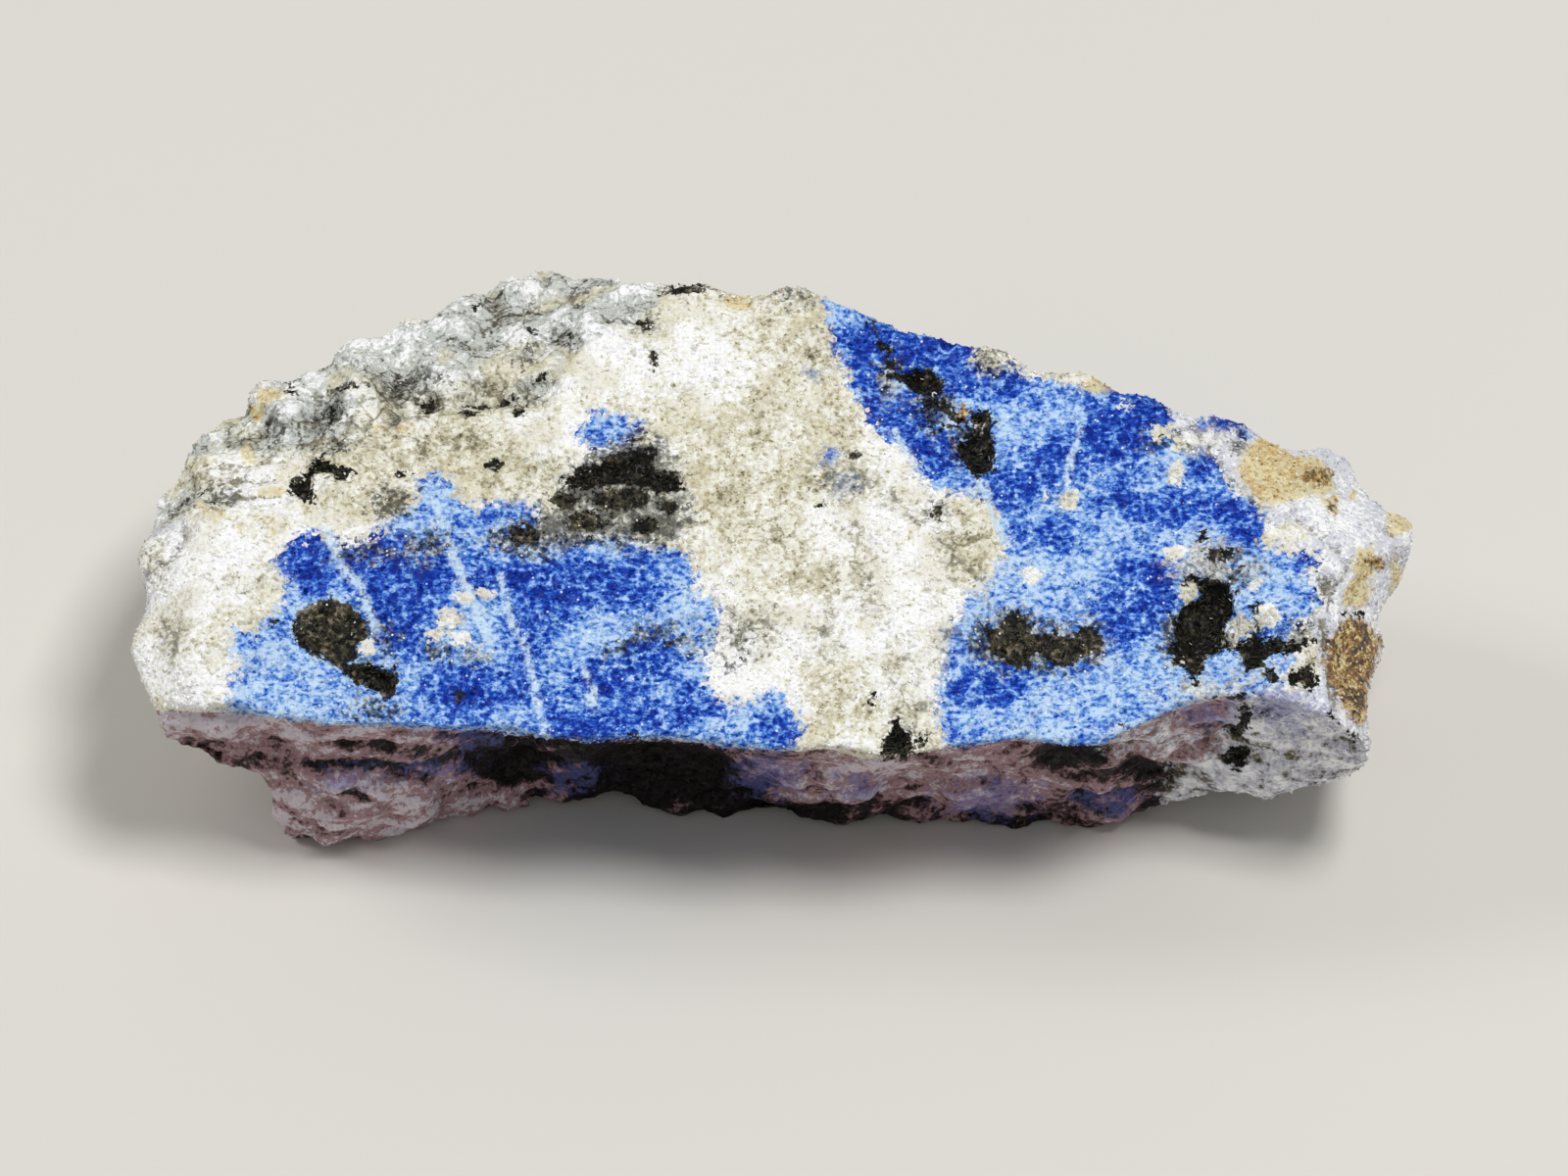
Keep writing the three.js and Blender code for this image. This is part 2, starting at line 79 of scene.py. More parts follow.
# Each mineral's places and the places of painted light and shade: outlines of [across, rise]
# points, strokes of (half width, points) and round spots of (across, rise, half width, half height).
MINERALS_AND_PAINTED_SHADING = {
    "blue": {
        "outlines": [
            [(-42.0, 9.6), (-36.0, 9.0), (-30.0, 8.8), (-26.0, 8.4), (-22.0, 8.4), (-18.0, 7.9),
             (-14.0, 7.6), (-9.0, 7.9), (-5.0, 7.5), (1.3, 6.8), (2.1, 8.8), (1.8, 10.6),
             (0.6, 11.6), (-0.4, 12.2), (-1.6, 11.2), (-3.0, 11.0), (-4.4, 11.6), (-5.0, 12.6),
             (-5.3, 14.0), (-5.6, 15.2), (-4.6, 15.6), (-4.2, 16.6), (-4.1, 17.8), (-4.6, 18.8),
             (-5.6, 19.3), (-6.3, 19.8), (-6.1, 21.4), (-6.7, 22.5), (-9.0, 23.2), (-12.0, 24.3),
             (-15.0, 24.0), (-18.0, 24.0), (-18.6, 26.2), (-19.5, 26.8), (-21.5, 26.8),
             (-23.5, 26.2), (-24.8, 27.2), (-25.6, 28.6), (-26.6, 29.4), (-27.6, 28.6),
             (-27.8, 27.2), (-29.3, 25.8), (-30.2, 25.3), (-30.6, 24.5), (-31.5, 24.0),
             (-32.5, 23.6), (-34.0, 23.3), (-34.8, 23.9), (-35.5, 24.3), (-36.4, 24.2),
             (-37.3, 23.9), (-38.3, 22.9), (-39.0, 21.9), (-38.4, 20.8), (-38.2, 19.6),
             (-38.7, 18.4), (-39.4, 17.4), (-40.6, 16.4), (-42.2, 16.6), (-42.4, 15.2),
             (-41.2, 14.2), (-42.0, 12.6), (-42.4, 11.0)],
            [(4.0, 44.0), (4.0, 41.0), (4.3, 40.0), (4.7, 38.7), (5.4, 37.5), (6.0, 36.0),
             (6.6, 34.7), (7.5, 33.5), (8.0, 32.3), (9.0, 31.4), (10.0, 31.0), (11.0, 30.0),
             (11.0, 29.2), (12.0, 28.3), (13.5, 27.6), (15.0, 27.2), (16.6, 26.8), (17.0, 25.8),
             (17.4, 24.8), (18.0, 23.5), (18.0, 22.5), (17.0, 21.2), (16.0, 20.4), (15.0, 19.6),
             (14.6, 18.0), (13.5, 17.0), (13.2, 15.5), (13.2, 14.5), (12.5, 11.0), (12.8, 9.5),
             (13.6, 7.2), (19.0, 7.8), (23.5, 6.8), (25.5, 7.3), (28.0, 8.7), (32.0, 10.4),
             (34.5, 11.1), (36.5, 11.0), (38.6, 11.6), (39.6, 12.6), (40.4, 14.6), (40.2, 16.2),
             (41.0, 17.4), (42.5, 18.6), (42.2, 20.3), (41.0, 21.2), (42.4, 21.8), (42.6, 22.8),
             (40.0, 22.8), (38.2, 23.2), (38.3, 26.0), (37.2, 27.2), (36.2, 27.6), (35.0, 29.0),
             (34.3, 30.4), (33.6, 31.6), (32.6, 30.6), (31.4, 31.2), (31.0, 33.0), (31.6, 34.6),
             (29.3, 36.0), (27.0, 36.4), (24.5, 36.0), (22.6, 36.4), (20.6, 36.3), (19.2, 37.2),
             (17.6, 37.4), (16.2, 36.8), (15.6, 38.2), (16.6, 40.0), (12.0, 42.0), (8.0, 43.6)],
        ],
        "spots": [(-13.0, 32.2, 2.3, 1.5), (36.8, 32.2, 0.7, 0.6),
                  (4.4, 30.2, 0.8, 0.6), (5.6, 28.2, 1.3, 0.8), (3.0, 37.0, 0.5, 0.4)],
        "strokes": [(0.5, [(33.2, 32.5), (34.4, 32.9), (36.2, 32.9)])],
    },
    "deep": {
        "spots": [(-28.5, 20.2, 2.6, 1.5), (-31.5, 21.5, 1.4, 0.8), (-29.6, 17.6, 2.6, 1.2),
                  (-23.0, 12.2, 2.2, 1.1), (-18.2, 18.9, 2.0, 2.0), (-19.2, 16.4, 0.9, 1.3),
                  (-9.8, 14.3, 1.7, 1.3), (-12.2, 13.0, 1.4, 0.8), (-17.0, 20.4, 3.6, 0.8),
                  (-11.5, 19.5, 1.6, 0.8), (-8.8, 10.3, 1.0, 0.6), (-5.6, 11.4, 0.8, 0.7),
                  (-36.4, 22.8, 1.3, 0.9), (-35.8, 21.2, 0.8, 0.9), (-30.8, 23.0, 1.4, 0.8),
                  (0.6, 9.0, 1.0, 0.5), (-14.2, 9.2, 1.4, 0.6), (-26.6, 18.4, 1.0, 1.0),
                  (5.9, 39.4, 1.3, 0.8), (6.8, 37.0, 0.7, 0.7), (8.3, 33.4, 1.1, 1.3),
                  (11.0, 38.2, 1.3, 0.9), (13.4, 38.6, 1.6, 0.7), (10.4, 33.6, 1.2, 0.9),
                  (12.6, 30.4, 1.3, 1.2), (18.8, 27.5, 1.9, 0.8), (22.0, 29.4, 1.3, 1.0),
                  (28.2, 32.8, 1.3, 1.9), (34.3, 29.2, 0.8, 0.5), (25.8, 31.6, 1.0, 1.0),
                  (29.0, 34.2, 1.8, 0.6), (33.4, 26.6, 1.5, 0.7), (28.6, 20.3, 1.8, 1.2),
                  (27.6, 17.6, 1.3, 0.9), (37.4, 25.0, 1.4, 1.0), (22.2, 24.4, 1.0, 0.6),
                  (16.6, 12.2, 1.2, 0.6), (9.6, 40.2, 1.4, 0.6), (26.6, 26.9, 1.0, 0.6),
                  (31.0, 26.2, 1.2, 0.6), (41.6, 22.4, 0.9, 0.5), (17.2, 36.0, 1.6, 0.5)],
        "strokes": [(0.45, [(33.2, 32.6), (34.4, 33.0), (36.2, 33.0)])],
    },
    "pale": {
        "spots": [(-38.6, 13.0, 4.5, 3.2), (-34.4, 11.0, 3.4, 1.8), (-27.4, 26.2, 1.8, 1.4),
                  (-38.6, 17.4, 2.6, 1.6), (-33.6, 19.0, 1.6, 1.8), (-14.0, 16.4, 4.6, 1.6),
                  (-7.4, 12.8, 2.2, 2.2), (-9.2, 18.4, 3.2, 1.4), (-21.8, 16.4, 1.4, 2.2),
                  (-2.6, 10.0, 2.6, 1.4), (25.0, 21.5, 3.2, 3.0), (22.4, 26.8, 2.4, 1.5),
                  (30.2, 28.6, 1.4, 1.8), (19.8, 34.2, 3.2, 1.2), (20.2, 20.8, 2.6, 1.4),
                  (35.0, 27.2, 1.8, 0.9), (16.4, 18.6, 2.4, 1.6), (22.0, 10.6, 4.6, 1.6),
                  (30.4, 12.8, 3.0, 1.2), (39.0, 20.6, 2.0, 1.6), (6.2, 41.4, 1.8, 0.7),
                  (13.2, 32.6, 0.9, 0.7), (31.2, 24.4, 2.6, 1.0), (38.2, 13.6, 2.0, 1.4),
                  (24.4, 18.0, 1.6, 1.6), (14.6, 28.0, 2.0, 0.8), (37.2, 19.2, 1.6, 1.6),
                  (40.8, 22.2, 1.8, 0.8), (-25.0, 17.4, 1.9, 1.6), (-31.4, 15.4, 0.9, 0.9)],
    },
    "vein": {
        "strokes": [(0.32, [(-35.0, 24.4), (-33.7, 21.7), (-32.2, 20.2), (-31.5, 18.0), (-31.0, 16.8)]),
                    (0.26, [(-26.6, 27.0), (-25.4, 24.0), (-24.2, 21.0), (-23.2, 18.6)]),
                    (0.34, [(-25.4, 23.6), (-23.8, 19.9), (-23.0, 18.0), (-22.4, 16.6)]),
                    (0.22, [(-21.4, 20.9), (-20.4, 17.2), (-19.4, 15.6), (-18.8, 13.0), (-18.3, 11.0),
                            (-17.7, 8.4)]),
                    (0.20, [(-15.0, 14.0), (-14.2, 12.4), (-13.9, 10.9)]),
                    (0.16, [(-7.0, 20.4), (-6.8, 17.5), (-6.2, 15.3)]),
                    (0.22, [(9.4, 32.2), (10.3, 30.6), (11.3, 29.3)]),
                    (0.26, [(16.2, 28.3), (17.2, 25.6), (17.8, 23.6)]),
                    (0.20, [(24.0, 32.5), (23.2, 30.2), (22.8, 28.0)])],
        "spots": [(-14.1, 11.3, 0.4, 0.6), (-38.4, 14.4, 0.5, 0.4), (-35.6, 12.8, 0.6, 0.3),
                  (-40.2, 12.4, 0.4, 0.5), (15.4, 27.6, 0.5, 0.4)],
    },
    "lump": {
        "spots": [(23.4, 36.8, 1.6, 0.8),
                  (-25.3, 17.6, 1.0, 0.9), (-24.2, 19.2, 0.7, 0.5), (-26.3, 16.4, 0.8, 0.6),
                  (-24.5, 16.0, 0.8, 0.6), (-22.4, 19.6, 0.7, 0.5), (22.9, 26.9, 0.8, 0.8),
                  (21.3, 27.0, 0.3, 0.3), (20.0, 21.0, 0.8, 0.6), (30.2, 32.2, 0.8, 0.6),
                  (-31.6, 15.2, 0.7, 0.8), (36.4, 17.0, 1.2, 0.8), (31.2, 22.8, 1.0, 0.6),
                  (32.3, 19.7, 0.7, 0.8), (37.4, 20.3, 0.5, 0.35), (38.6, 17.9, 0.9, 0.8),
                  (35.6, 16.2, 0.8, 0.5), (27.6, 34.3, 0.5, 0.3), (31.4, 29.0, 0.7, 1.0),
                  (-35.0, 28.6, 0.9, 0.4), (40.4, 24.4, 1.8, 0.8), (16.0, 32.9, 0.3, 0.3)],
    },
    "grey": {
        "outlines": [
            [(-22.8, 24.0), (-21.0, 25.0), (-18.5, 25.5), (-17.2, 27.3), (-15.5, 30.0),
             (-13.0, 31.2), (-11.0, 32.2), (-9.0, 31.5), (-7.0, 28.4), (-6.6, 25.8), (-7.6, 23.8),
             (-10.0, 23.0), (-13.0, 23.6), (-16.0, 23.0), (-19.0, 22.4), (-21.0, 23.0)],
            [(14.8, 16.0), (16.2, 17.6), (19.0, 18.2), (21.4, 16.8), (25.0, 17.3), (25.9, 16.0),
             (25.4, 14.6), (22.6, 13.5), (20.6, 13.3), (18.0, 13.8), (15.8, 14.4)],
        ],
        "spots": [(-27.2, 23.3, 1.7, 1.0), (-29.8, 26.6, 1.5, 1.1), (-3.3, 16.3, 1.4, 0.8),
                  (-2.8, 14.8, 0.7, 0.5), (12.9, 26.1, 0.8, 0.5), (-39.4, 32.4, 0.7, 1.1),
                  (-34.8, 34.2, 1.0, 1.2), (-34.2, 31.2, 1.2, 0.8), (-43.4, 27.0, 1.4, 0.8),
                  (8.9, 36.4, 0.9, 1.6), (12.6, 34.0, 1.4, 1.6), (14.7, 31.2, 0.7, 1.2),
                  (30.2, 31.6, 0.9, 0.5), (36.6, 31.4, 0.5, 0.6),
                  (36.4, 21.4, 1.6, 1.2), (31.2, 16.0, 1.2, 1.6), (-32.2, 22.8, 1.4, 0.6),
                  (-31.0, 10.8, 1.4, 0.8), (-30.2, 15.8, 0.9, 0.8), (-16.5, 40.2, 0.5, 0.4),
                  (-19.4, 38.5, 0.8, 0.8), (-10.4, 40.8, 0.6, 0.6), (1.2, 42.8, 0.9, 0.5),
                  (17.0, 37.7, 0.9, 0.8), (-28.0, 36.0, 1.8, 0.9), (41.8, 16.4, 1.6, 0.7),
                  (43.0, 20.2, 0.5, 0.6)],
        "strokes": [(0.4, [(-12.4, 15.2), (-10.6, 16.2), (-8.8, 16.6), (-7.2, 16.2), (-6.4, 15.2)]),
                    (0.3, [(-26.8, 15.0), (-25.4, 15.2), (-24.2, 14.9), (-22.6, 14.6)])],
    },
    # Darker olive and charcoal patches, laid at three quarters strength over the stone's colour.
    "darker_patches": {
        "outlines": [
            [(-32.8, 31.0), (-29.0, 32.4), (-24.0, 33.8), (-20.0, 34.4), (-17.0, 33.8),
             (-19.6, 35.8), (-24.0, 36.0), (-29.0, 35.8), (-33.0, 33.4), (-35.2, 31.8)],
            [(30.7, 22.0), (32.0, 22.7), (32.6, 23.6), (33.4, 24.2), (34.3, 23.8), (35.3, 23.0),
             (35.6, 22.3), (35.6, 21.3), (35.0, 20.4), (31.5, 20.6)],
        ],
        "spots": [(14.8, 23.2, 2.0, 2.6), (15.8, 20.6, 1.0, 1.0), (9.0, 26.9, 0.9, 0.6),
                  (0.6, 24.0, 2.2, 1.4), (6.6, 21.2, 1.2, 2.0), (6.8, 24.4, 0.9, 1.2),
                  (10.6, 10.4, 1.8, 2.4), (-41.0, 20.4, 2.0, 0.9), (5.6, 28.6, 2.4, 1.6),
                  (-1.6, 17.4, 2.0, 1.2), (4.0, 16.6, 1.0, 1.6), (34.0, 12.0, 2.4, 0.8),
                  (37.6, 13.4, 1.2, 0.7), (-31.0, 35.6, 3.6, 1.2), (-41.6, 32.2, 1.6, 1.2),
                  (-29.4, 30.6, 3.0, 1.2), (-20.6, 28.0, 1.6, 0.9), (-46.6, 16.0, 1.2, 1.8),
                  (-24.0, 31.4, 2.0, 1.0), (3.0, 38.4, 1.0, 1.6), (9.6, 13.6, 1.0, 1.4),
                  (33.4, 31.6, 1.4, 0.8), (-48.8, 22.4, 1.2, 1.8), (-45.6, 29.0, 1.6, 1.2)],
        "strokes": [(0.5, [(5.2, 24.8), (6.6, 23.4), (7.4, 22.2)]),
                    (0.5, [(4.2, 21.4), (6.4, 20.6), (7.6, 19.4), (8.2, 18.0)]),
                    (0.4, [(9.6, 26.0), (11.6, 26.0), (13.4, 25.6), (14.6, 24.8)]),
                    (0.4, [(12.9, 20.0), (13.4, 17.0), (12.6, 14.0)])],
    },
    "dark": {
        "outlines": [
            [(-37.6, 27.1), (-37.3, 28.3), (-36.8, 29.0), (-36.2, 29.6), (-35.4, 30.0),
             (-34.8, 30.2), (-34.2, 29.8), (-33.6, 29.6), (-33.1, 29.1), (-33.6, 28.7),
             (-34.3, 28.3), (-34.6, 28.9), (-35.4, 28.9), (-36.1, 28.6), (-36.2, 28.0),
             (-36.0, 27.3), (-35.8, 26.6), (-36.3, 27.0)],
            [(-16.6, 28.0), (-16.5, 28.5), (-15.5, 29.4), (-14.0, 29.8), (-12.5, 30.4),
             (-11.0, 30.7), (-9.5, 31.0), (-9.2, 30.3), (-9.3, 29.4), (-8.2, 29.2), (-7.5, 28.8),
             (-6.8, 27.9), (-7.6, 27.4), (-9.0, 27.2), (-10.0, 28.0), (-12.0, 28.0), (-14.0, 28.0),
             (-15.5, 27.8)],
            [(8.8, 37.2), (10.0, 36.7), (11.0, 37.1), (12.2, 37.0), (12.7, 36.6), (13.3, 36.4),
             (13.2, 35.5), (12.0, 35.1), (11.0, 35.3), (10.3, 36.0), (9.3, 36.3)],
            [(15.3, 34.2), (16.5, 33.8), (17.3, 33.2), (17.0, 32.5), (16.9, 32.0), (17.4, 31.3),
             (17.2, 30.2), (17.1, 29.2), (16.5, 28.7), (15.5, 28.8), (15.1, 29.5), (14.3, 30.2),
             (14.2, 31.3), (15.2, 31.8), (15.5, 32.6), (15.2, 33.4)],
            [(31.5, 20.6), (32.2, 20.1), (33.0, 20.0), (33.2, 19.2), (32.4, 19.0), (31.6, 18.4),
             (31.4, 17.6), (31.2, 16.9), (31.4, 16.3), (31.2, 15.6), (30.5, 15.5), (31.1, 14.9),
             (31.1, 14.1), (31.9, 14.0), (32.3, 13.2), (32.6, 12.6), (33.0, 12.7), (33.1, 13.4),
             (33.5, 13.9), (33.6, 14.6), (34.3, 14.9), (35.0, 15.3), (35.6, 15.1), (36.3, 14.9),
             (36.5, 14.0), (36.8, 13.1), (37.2, 13.6), (38.2, 13.8), (38.1, 14.3), (38.9, 14.9),
             (39.9, 15.0), (41.0, 15.0), (41.4, 15.5), (41.6, 16.1), (41.0, 15.7), (40.2, 16.0),
             (39.0, 16.2), (38.0, 16.3), (38.0, 17.0), (37.7, 17.8), (38.0, 18.6), (37.3, 18.9),
             (37.0, 18.4), (37.5, 17.4), (37.0, 16.1), (36.0, 16.1), (35.2, 16.5), (35.0, 17.2),
             (35.8, 17.6), (36.0, 18.3), (35.8, 19.4), (35.4, 20.2), (34.6, 20.5), (33.6, 20.6),
             (32.4, 21.0)],
            [(39.7, 13.3), (40.2, 13.7), (41.2, 13.8), (41.8, 14.4), (42.0, 13.6), (42.3, 13.0),
             (41.8, 12.2), (41.3, 12.2), (41.2, 12.9), (40.7, 12.6), (40.4, 11.9), (40.1, 12.4),
             (40.0, 12.9)],
            [(36.2, 10.9), (36.8, 10.9), (37.1, 10.4), (36.8, 9.7), (37.1, 9.2), (36.6, 8.9),
             (36.4, 8.3), (35.5, 8.0), (34.9, 8.6), (35.8, 9.0), (36.2, 9.5), (36.3, 10.3)],
            [(35.3, 6.7), (35.8, 7.4), (36.5, 7.6), (37.1, 7.7), (37.2, 7.0), (36.9, 6.3),
             (36.5, 5.7), (36.1, 6.1), (35.6, 6.3)],
            [(8.2, 7.0), (8.4, 8.2), (9.2, 9.1), (9.1, 10.0), (9.6, 10.0), (9.9, 9.2), (10.5, 8.7),
             (10.9, 7.9), (10.7, 6.8), (10.0, 6.6)],
        ],
        "strokes": [(0.16, [(7.5, 41.0), (8.3, 40.0), (8.5, 39.2)]),
                    (0.4, [(8.5, 39.3), (9.0, 38.8)]),
                    (0.22, [(9.0, 38.6), (9.2, 37.5), (8.8, 36.8)]),
                    (0.4, [(11.9, 34.4), (12.5, 34.7), (13.2, 34.4), (13.9, 33.6), (14.5, 33.0)]),
                    (0.2, [(11.7, 34.2), (11.7, 33.4), (12.0, 32.6), (13.2, 32.6), (13.9, 32.9)]),
                    # The two thin strokes from 43 to 45 mm across, low on the right, are a crack: their pit is
                    # relief, their black is painted shade.
                    (0.12, [(36.3, 11.6), (37.2, 11.8)]), (0.12, [(43.2, 10.2), (44.0, 9.5)]),
                    (0.12, [(44.5, 9.0), (45.1, 8.2)]), (0.14, [(44.4, 18.0), (46.0, 18.05)])],
        "spots": [(-36.9, 27.9, 0.9, 1.1), (-35.2, 29.5, 1.4, 0.7), (-33.8, 28.9, 0.7, 0.5),
                  (-29.2, 28.8, 0.6, 0.3), (38.6, 13.2, 0.5, 0.6), (42.1, 15.8, 0.3, 0.25),
                  (27.6, 9.5, 0.4, 0.25), (34.1, 11.6, 0.4, 0.25), (7.5, 11.5, 0.3, 0.4),
                  (-8.3, 15.6, 0.3, 0.3), (-37.9, 35.5, 0.4, 0.3), (-24.6, 11.5, 0.4, 0.3),
                  (-11.0, 8.6, 0.3, 0.3), (12.6, 25.9, 0.5, 0.4), (-38.8, 17.3, 0.25, 0.2),
                  (11.5, 8.1, 0.3, 0.5), (33.4, 24.0, 0.4, 0.3), (35.4, 22.6, 0.4, 0.4),
                  (3.7, 26.5, 0.25, 0.2), (7.6, 20.6, 0.15, 0.15), (-44.9, 27.7, 0.25, 0.25),
                  (-23.5, 42.5, 0.3, 0.25), (-16.4, 40.2, 0.25, 0.2), (-19.1, 40.3, 0.5, 0.25),
                  (-18.4, 36.7, 0.4, 0.3), (-10.4, 40.8, 0.35, 0.3), (-35.1, 34.0, 0.3, 0.4),
                  (-30.6, 12.9, 1.4, 0.9), (-32.0, 13.5, 1.2, 0.6)],
    },
    "brown": {
        "outlines": [
            [(-37.5, 16.6), (-37.4, 17.5), (-36.8, 18.3), (-35.8, 18.9), (-34.5, 19.1),
             (-33.3, 18.9), (-32.3, 18.0), (-31.6, 17.0), (-31.1, 16.3), (-31.9, 15.9),
             (-32.3, 15.2), (-31.9, 14.6), (-33.5, 13.8), (-34.5, 14.2), (-36.0, 14.9),
             (-37.0, 15.6)],
            [(-33.8, 14.2), (-32.5, 14.3), (-31.0, 14.0), (-30.0, 13.7), (-29.4, 13.6),
             (-29.1, 12.9), (-29.5, 12.0), (-29.9, 11.0), (-30.6, 11.6), (-31.5, 12.3),
             (-32.5, 12.6), (-33.3, 13.2)],
            [(16.0, 17.3), (17.3, 16.8), (18.0, 17.7), (18.8, 18.2), (19.5, 17.8), (20.3, 17.0),
             (20.2, 16.0), (20.6, 15.5), (20.1, 14.6), (19.8, 13.6), (19.0, 14.0), (18.0, 13.9),
             (17.0, 15.0), (16.6, 16.2)],
            [(20.5, 15.3), (21.5, 16.8), (22.0, 16.5), (22.7, 16.0), (23.5, 16.7), (24.5, 17.2),
             (25.2, 16.8), (25.6, 15.9), (25.3, 15.0), (24.0, 14.6), (23.2, 13.9), (22.0, 13.7),
             (21.0, 14.6)],
        ],
        "spots": [(34.4, 22.6, 0.9, 0.6), (-14.6, 25.2, 1.6, 0.8), (-19.4, 24.2, 1.3, 0.8), (-12.0, 27.0, 2.6, 0.9),
                  (-10.2, 24.8, 1.0, 0.7), (-16.4, 26.8, 1.1, 0.8), (-8.2, 26.4, 0.8, 0.7),
                  (-27.0, 34.4, 0.7, 0.5), (-23.8, 33.8, 0.7, 0.4), (-20.0, 33.8, 0.5, 0.3),
                  (-21.8, 29.6, 0.8, 0.4), (-9.5, 37.9, 0.4, 0.8), (-34.2, 35.8, 0.6, 0.4),
                  (-7.0, 43.6, 2.0, 0.4), (-33.0, 35.7, 0.9, 0.3), (6.2, 30.3, 0.7, 0.3)],
        "strokes": [(0.2, [(-24.2, 34.6), (-22.5, 34.5), (-20.5, 35.0), (-19.0, 34.2)]),
                    (0.8, [(19.2, 15.8), (22.0, 15.4)])],
    },
    "rusty": {
        "outlines": [
            [(44.7, 17.8), (45.8, 17.6), (46.7, 16.9), (47.6, 16.0), (47.2, 15.1), (46.8, 13.5),
             (46.4, 12.4), (46.3, 9.9), (45.7, 9.3), (44.8, 9.9), (44.1, 10.8), (43.6, 11.9),
             (43.1, 13.1), (42.9, 14.2), (43.0, 15.6), (43.7, 16.8)],
        ],
        "spots": [(42.6, 28.7, 1.2, 0.7), (43.8, 26.4, 0.4, 0.7),
                  (14.8, 33.6, 0.6, 0.8), (46.9, 22.0, 0.8, 0.5), (26.4, 35.9, 0.6, 0.4)],
    },
    "ochre": {
        "outlines": [
            [(36.3, 29.3), (36.6, 30.2), (37.2, 31.2), (38.2, 31.9), (39.6, 31.5), (41.0, 30.4),
             (42.6, 30.3), (43.9, 29.2), (44.1, 27.8), (43.3, 27.2), (44.2, 26.4), (43.9, 25.7),
             (43.2, 26.2), (42.8, 27.2), (41.0, 27.2), (40.0, 26.6), (39.0, 26.5), (37.8, 27.0),
             (36.8, 28.0), (36.4, 28.8)],
            [(48.2, 26.6), (49.0, 26.4), (50.0, 25.4), (50.2, 24.9), (49.5, 24.4), (48.4, 24.2),
             (48.0, 25.0)],
            [(45.4, 23.0), (46.6, 23.2), (47.2, 22.2), (46.6, 20.4), (46.4, 19.0), (45.8, 18.4),
             (44.5, 18.5), (44.4, 19.4), (45.0, 20.6)],
        ],
        "spots": [(25.6, 36.2, 1.7, 0.9),
                  (-39.3, 27.8, 1.0, 0.5), (-39.1, 24.8, 0.3, 0.6), (-39.6, 35.1, 1.3, 0.9),
                  (-2.9, 42.4, 1.0, 0.6), (48.6, 21.0, 0.4, 1.4),
                  (-28.9, 32.6, 0.6, 0.4), (-31.0, 32.5, 0.5, 0.4), (45.3, 27.5, 0.3, 0.3),
                  (-41.4, 30.4, 0.4, 0.7), (-41.0, 34.0, 0.6, 0.6)],
        "strokes": [(0.15, [(-45.2, 26.9), (-44.2, 25.8), (-42.2, 25.4), (-41.5, 24.4)]),
                    (0.15, [(-44.2, 31.4), (-44.2, 30.2), (-45.6, 29.4)])],
    },
    # Painted shade: thin olive lines along the creases between facets and the cleavage steps; the relief also cuts
    # them in as cracks.
    "crease": {
        "strokes": [(0.12, [(32.6, 33.0), (33.4, 32.0), (34.0, 30.8), (34.8, 30.0), (35.4, 29.2),
                            (36.3, 27.8), (37.6, 26.9), (39.0, 26.3)]),
                    (0.14, [(40.8, 25.7), (42.2, 24.6), (43.6, 23.4), (44.6, 22.4), (44.9, 21.6),
                            (44.4, 20.8), (43.6, 19.8), (43.3, 18.4), (42.9, 16.4), (42.8, 14.4),
                            (43.6, 11.6), (43.8, 10.2)]),
                    (0.12, [(48.0, 24.8), (48.8, 24.0)]), (0.12, [(-48.0, 22.0), (-46.7, 22.9),
                                                                  (-46.3, 24.2)]),
                    (0.14, [(-45.0, 29.7), (-41.5, 29.6), (-38.2, 30.2)]),
                    (0.12, [(-44.6, 28.4), (-41.0, 28.5), (-38.4, 28.7)]),
                    (0.12, [(-44.4, 27.2), (-41.0, 27.3), (-38.8, 27.2)])],
        "spots": [(43.0, 20.1, 0.5, 0.5), (42.9, 17.2, 0.4, 0.6)],
    },
    # Painted shade: wide spots that darken the front face, most of all along its foot.
    "gloom": {
        "spots": [(-10.0, 5.0, 13.0, 3.6), (-22.0, 5.8, 5.0, 2.0), (14.0, 1.8, 14.0, 2.0),
                  (27.0, 3.4, 5.0, 2.0), (24.0, 6.4, 4.0, 1.0)],
    },
    # Painted light: the lower right end faces down into shade, so its colours are made pale, from lilac grey to
    # white, to show it lit.
    "endface": {
        "outlines": [
            [(30.5, 3.0), (31.0, 5.4), (33.0, 6.6), (34.6, 7.6), (35.2, 10.0), (36.5, 11.4),
             (37.5, 11.8), (43.2, 10.4), (45.0, 8.0), (47.0, 7.4), (48.0, 4.0), (42.0, 1.0),
             (32.0, 1.0)],
        ],
        "strokes": [(0.5, [(26.5, 7.9), (29.0, 8.4), (33.0, 8.4)])],
    },
    # Whiter cream; at the left end these places are also painted light on the lit end.
    "bright": {
        "outlines": [
            [(5.0, 17.0), (7.5, 21.5), (4.0, 23.4), (3.4, 26.0), (7.0, 26.6), (9.8, 27.8),
             (12.6, 27.6), (12.4, 26.2), (12.6, 24.0), (13.4, 21.0), (14.0, 18.0), (12.6, 14.0),
             (11.4, 11.5), (9.0, 12.0), (8.6, 15.0)],
            [(-5.2, 15.2), (-5.0, 12.2), (-3.0, 11.4), (-0.6, 12.4), (1.4, 11.0), (2.2, 12.2),
             (1.2, 14.6), (-1.0, 15.6), (-3.2, 15.0)],
            [(-49.6, 16.4), (-48.6, 18.6), (-47.4, 21.6), (-45.6, 24.2), (-42.6, 23.8),
             (-40.6, 22.6), (-42.0, 20.0), (-44.6, 18.4), (-46.8, 14.4), (-48.6, 12.6)],
        ],
        "spots": [(-6.2, 36.8, 3.0, 2.2), (-12.6, 36.5, 2.0, 1.2), (-40.4, 28.6, 3.4, 1.9),
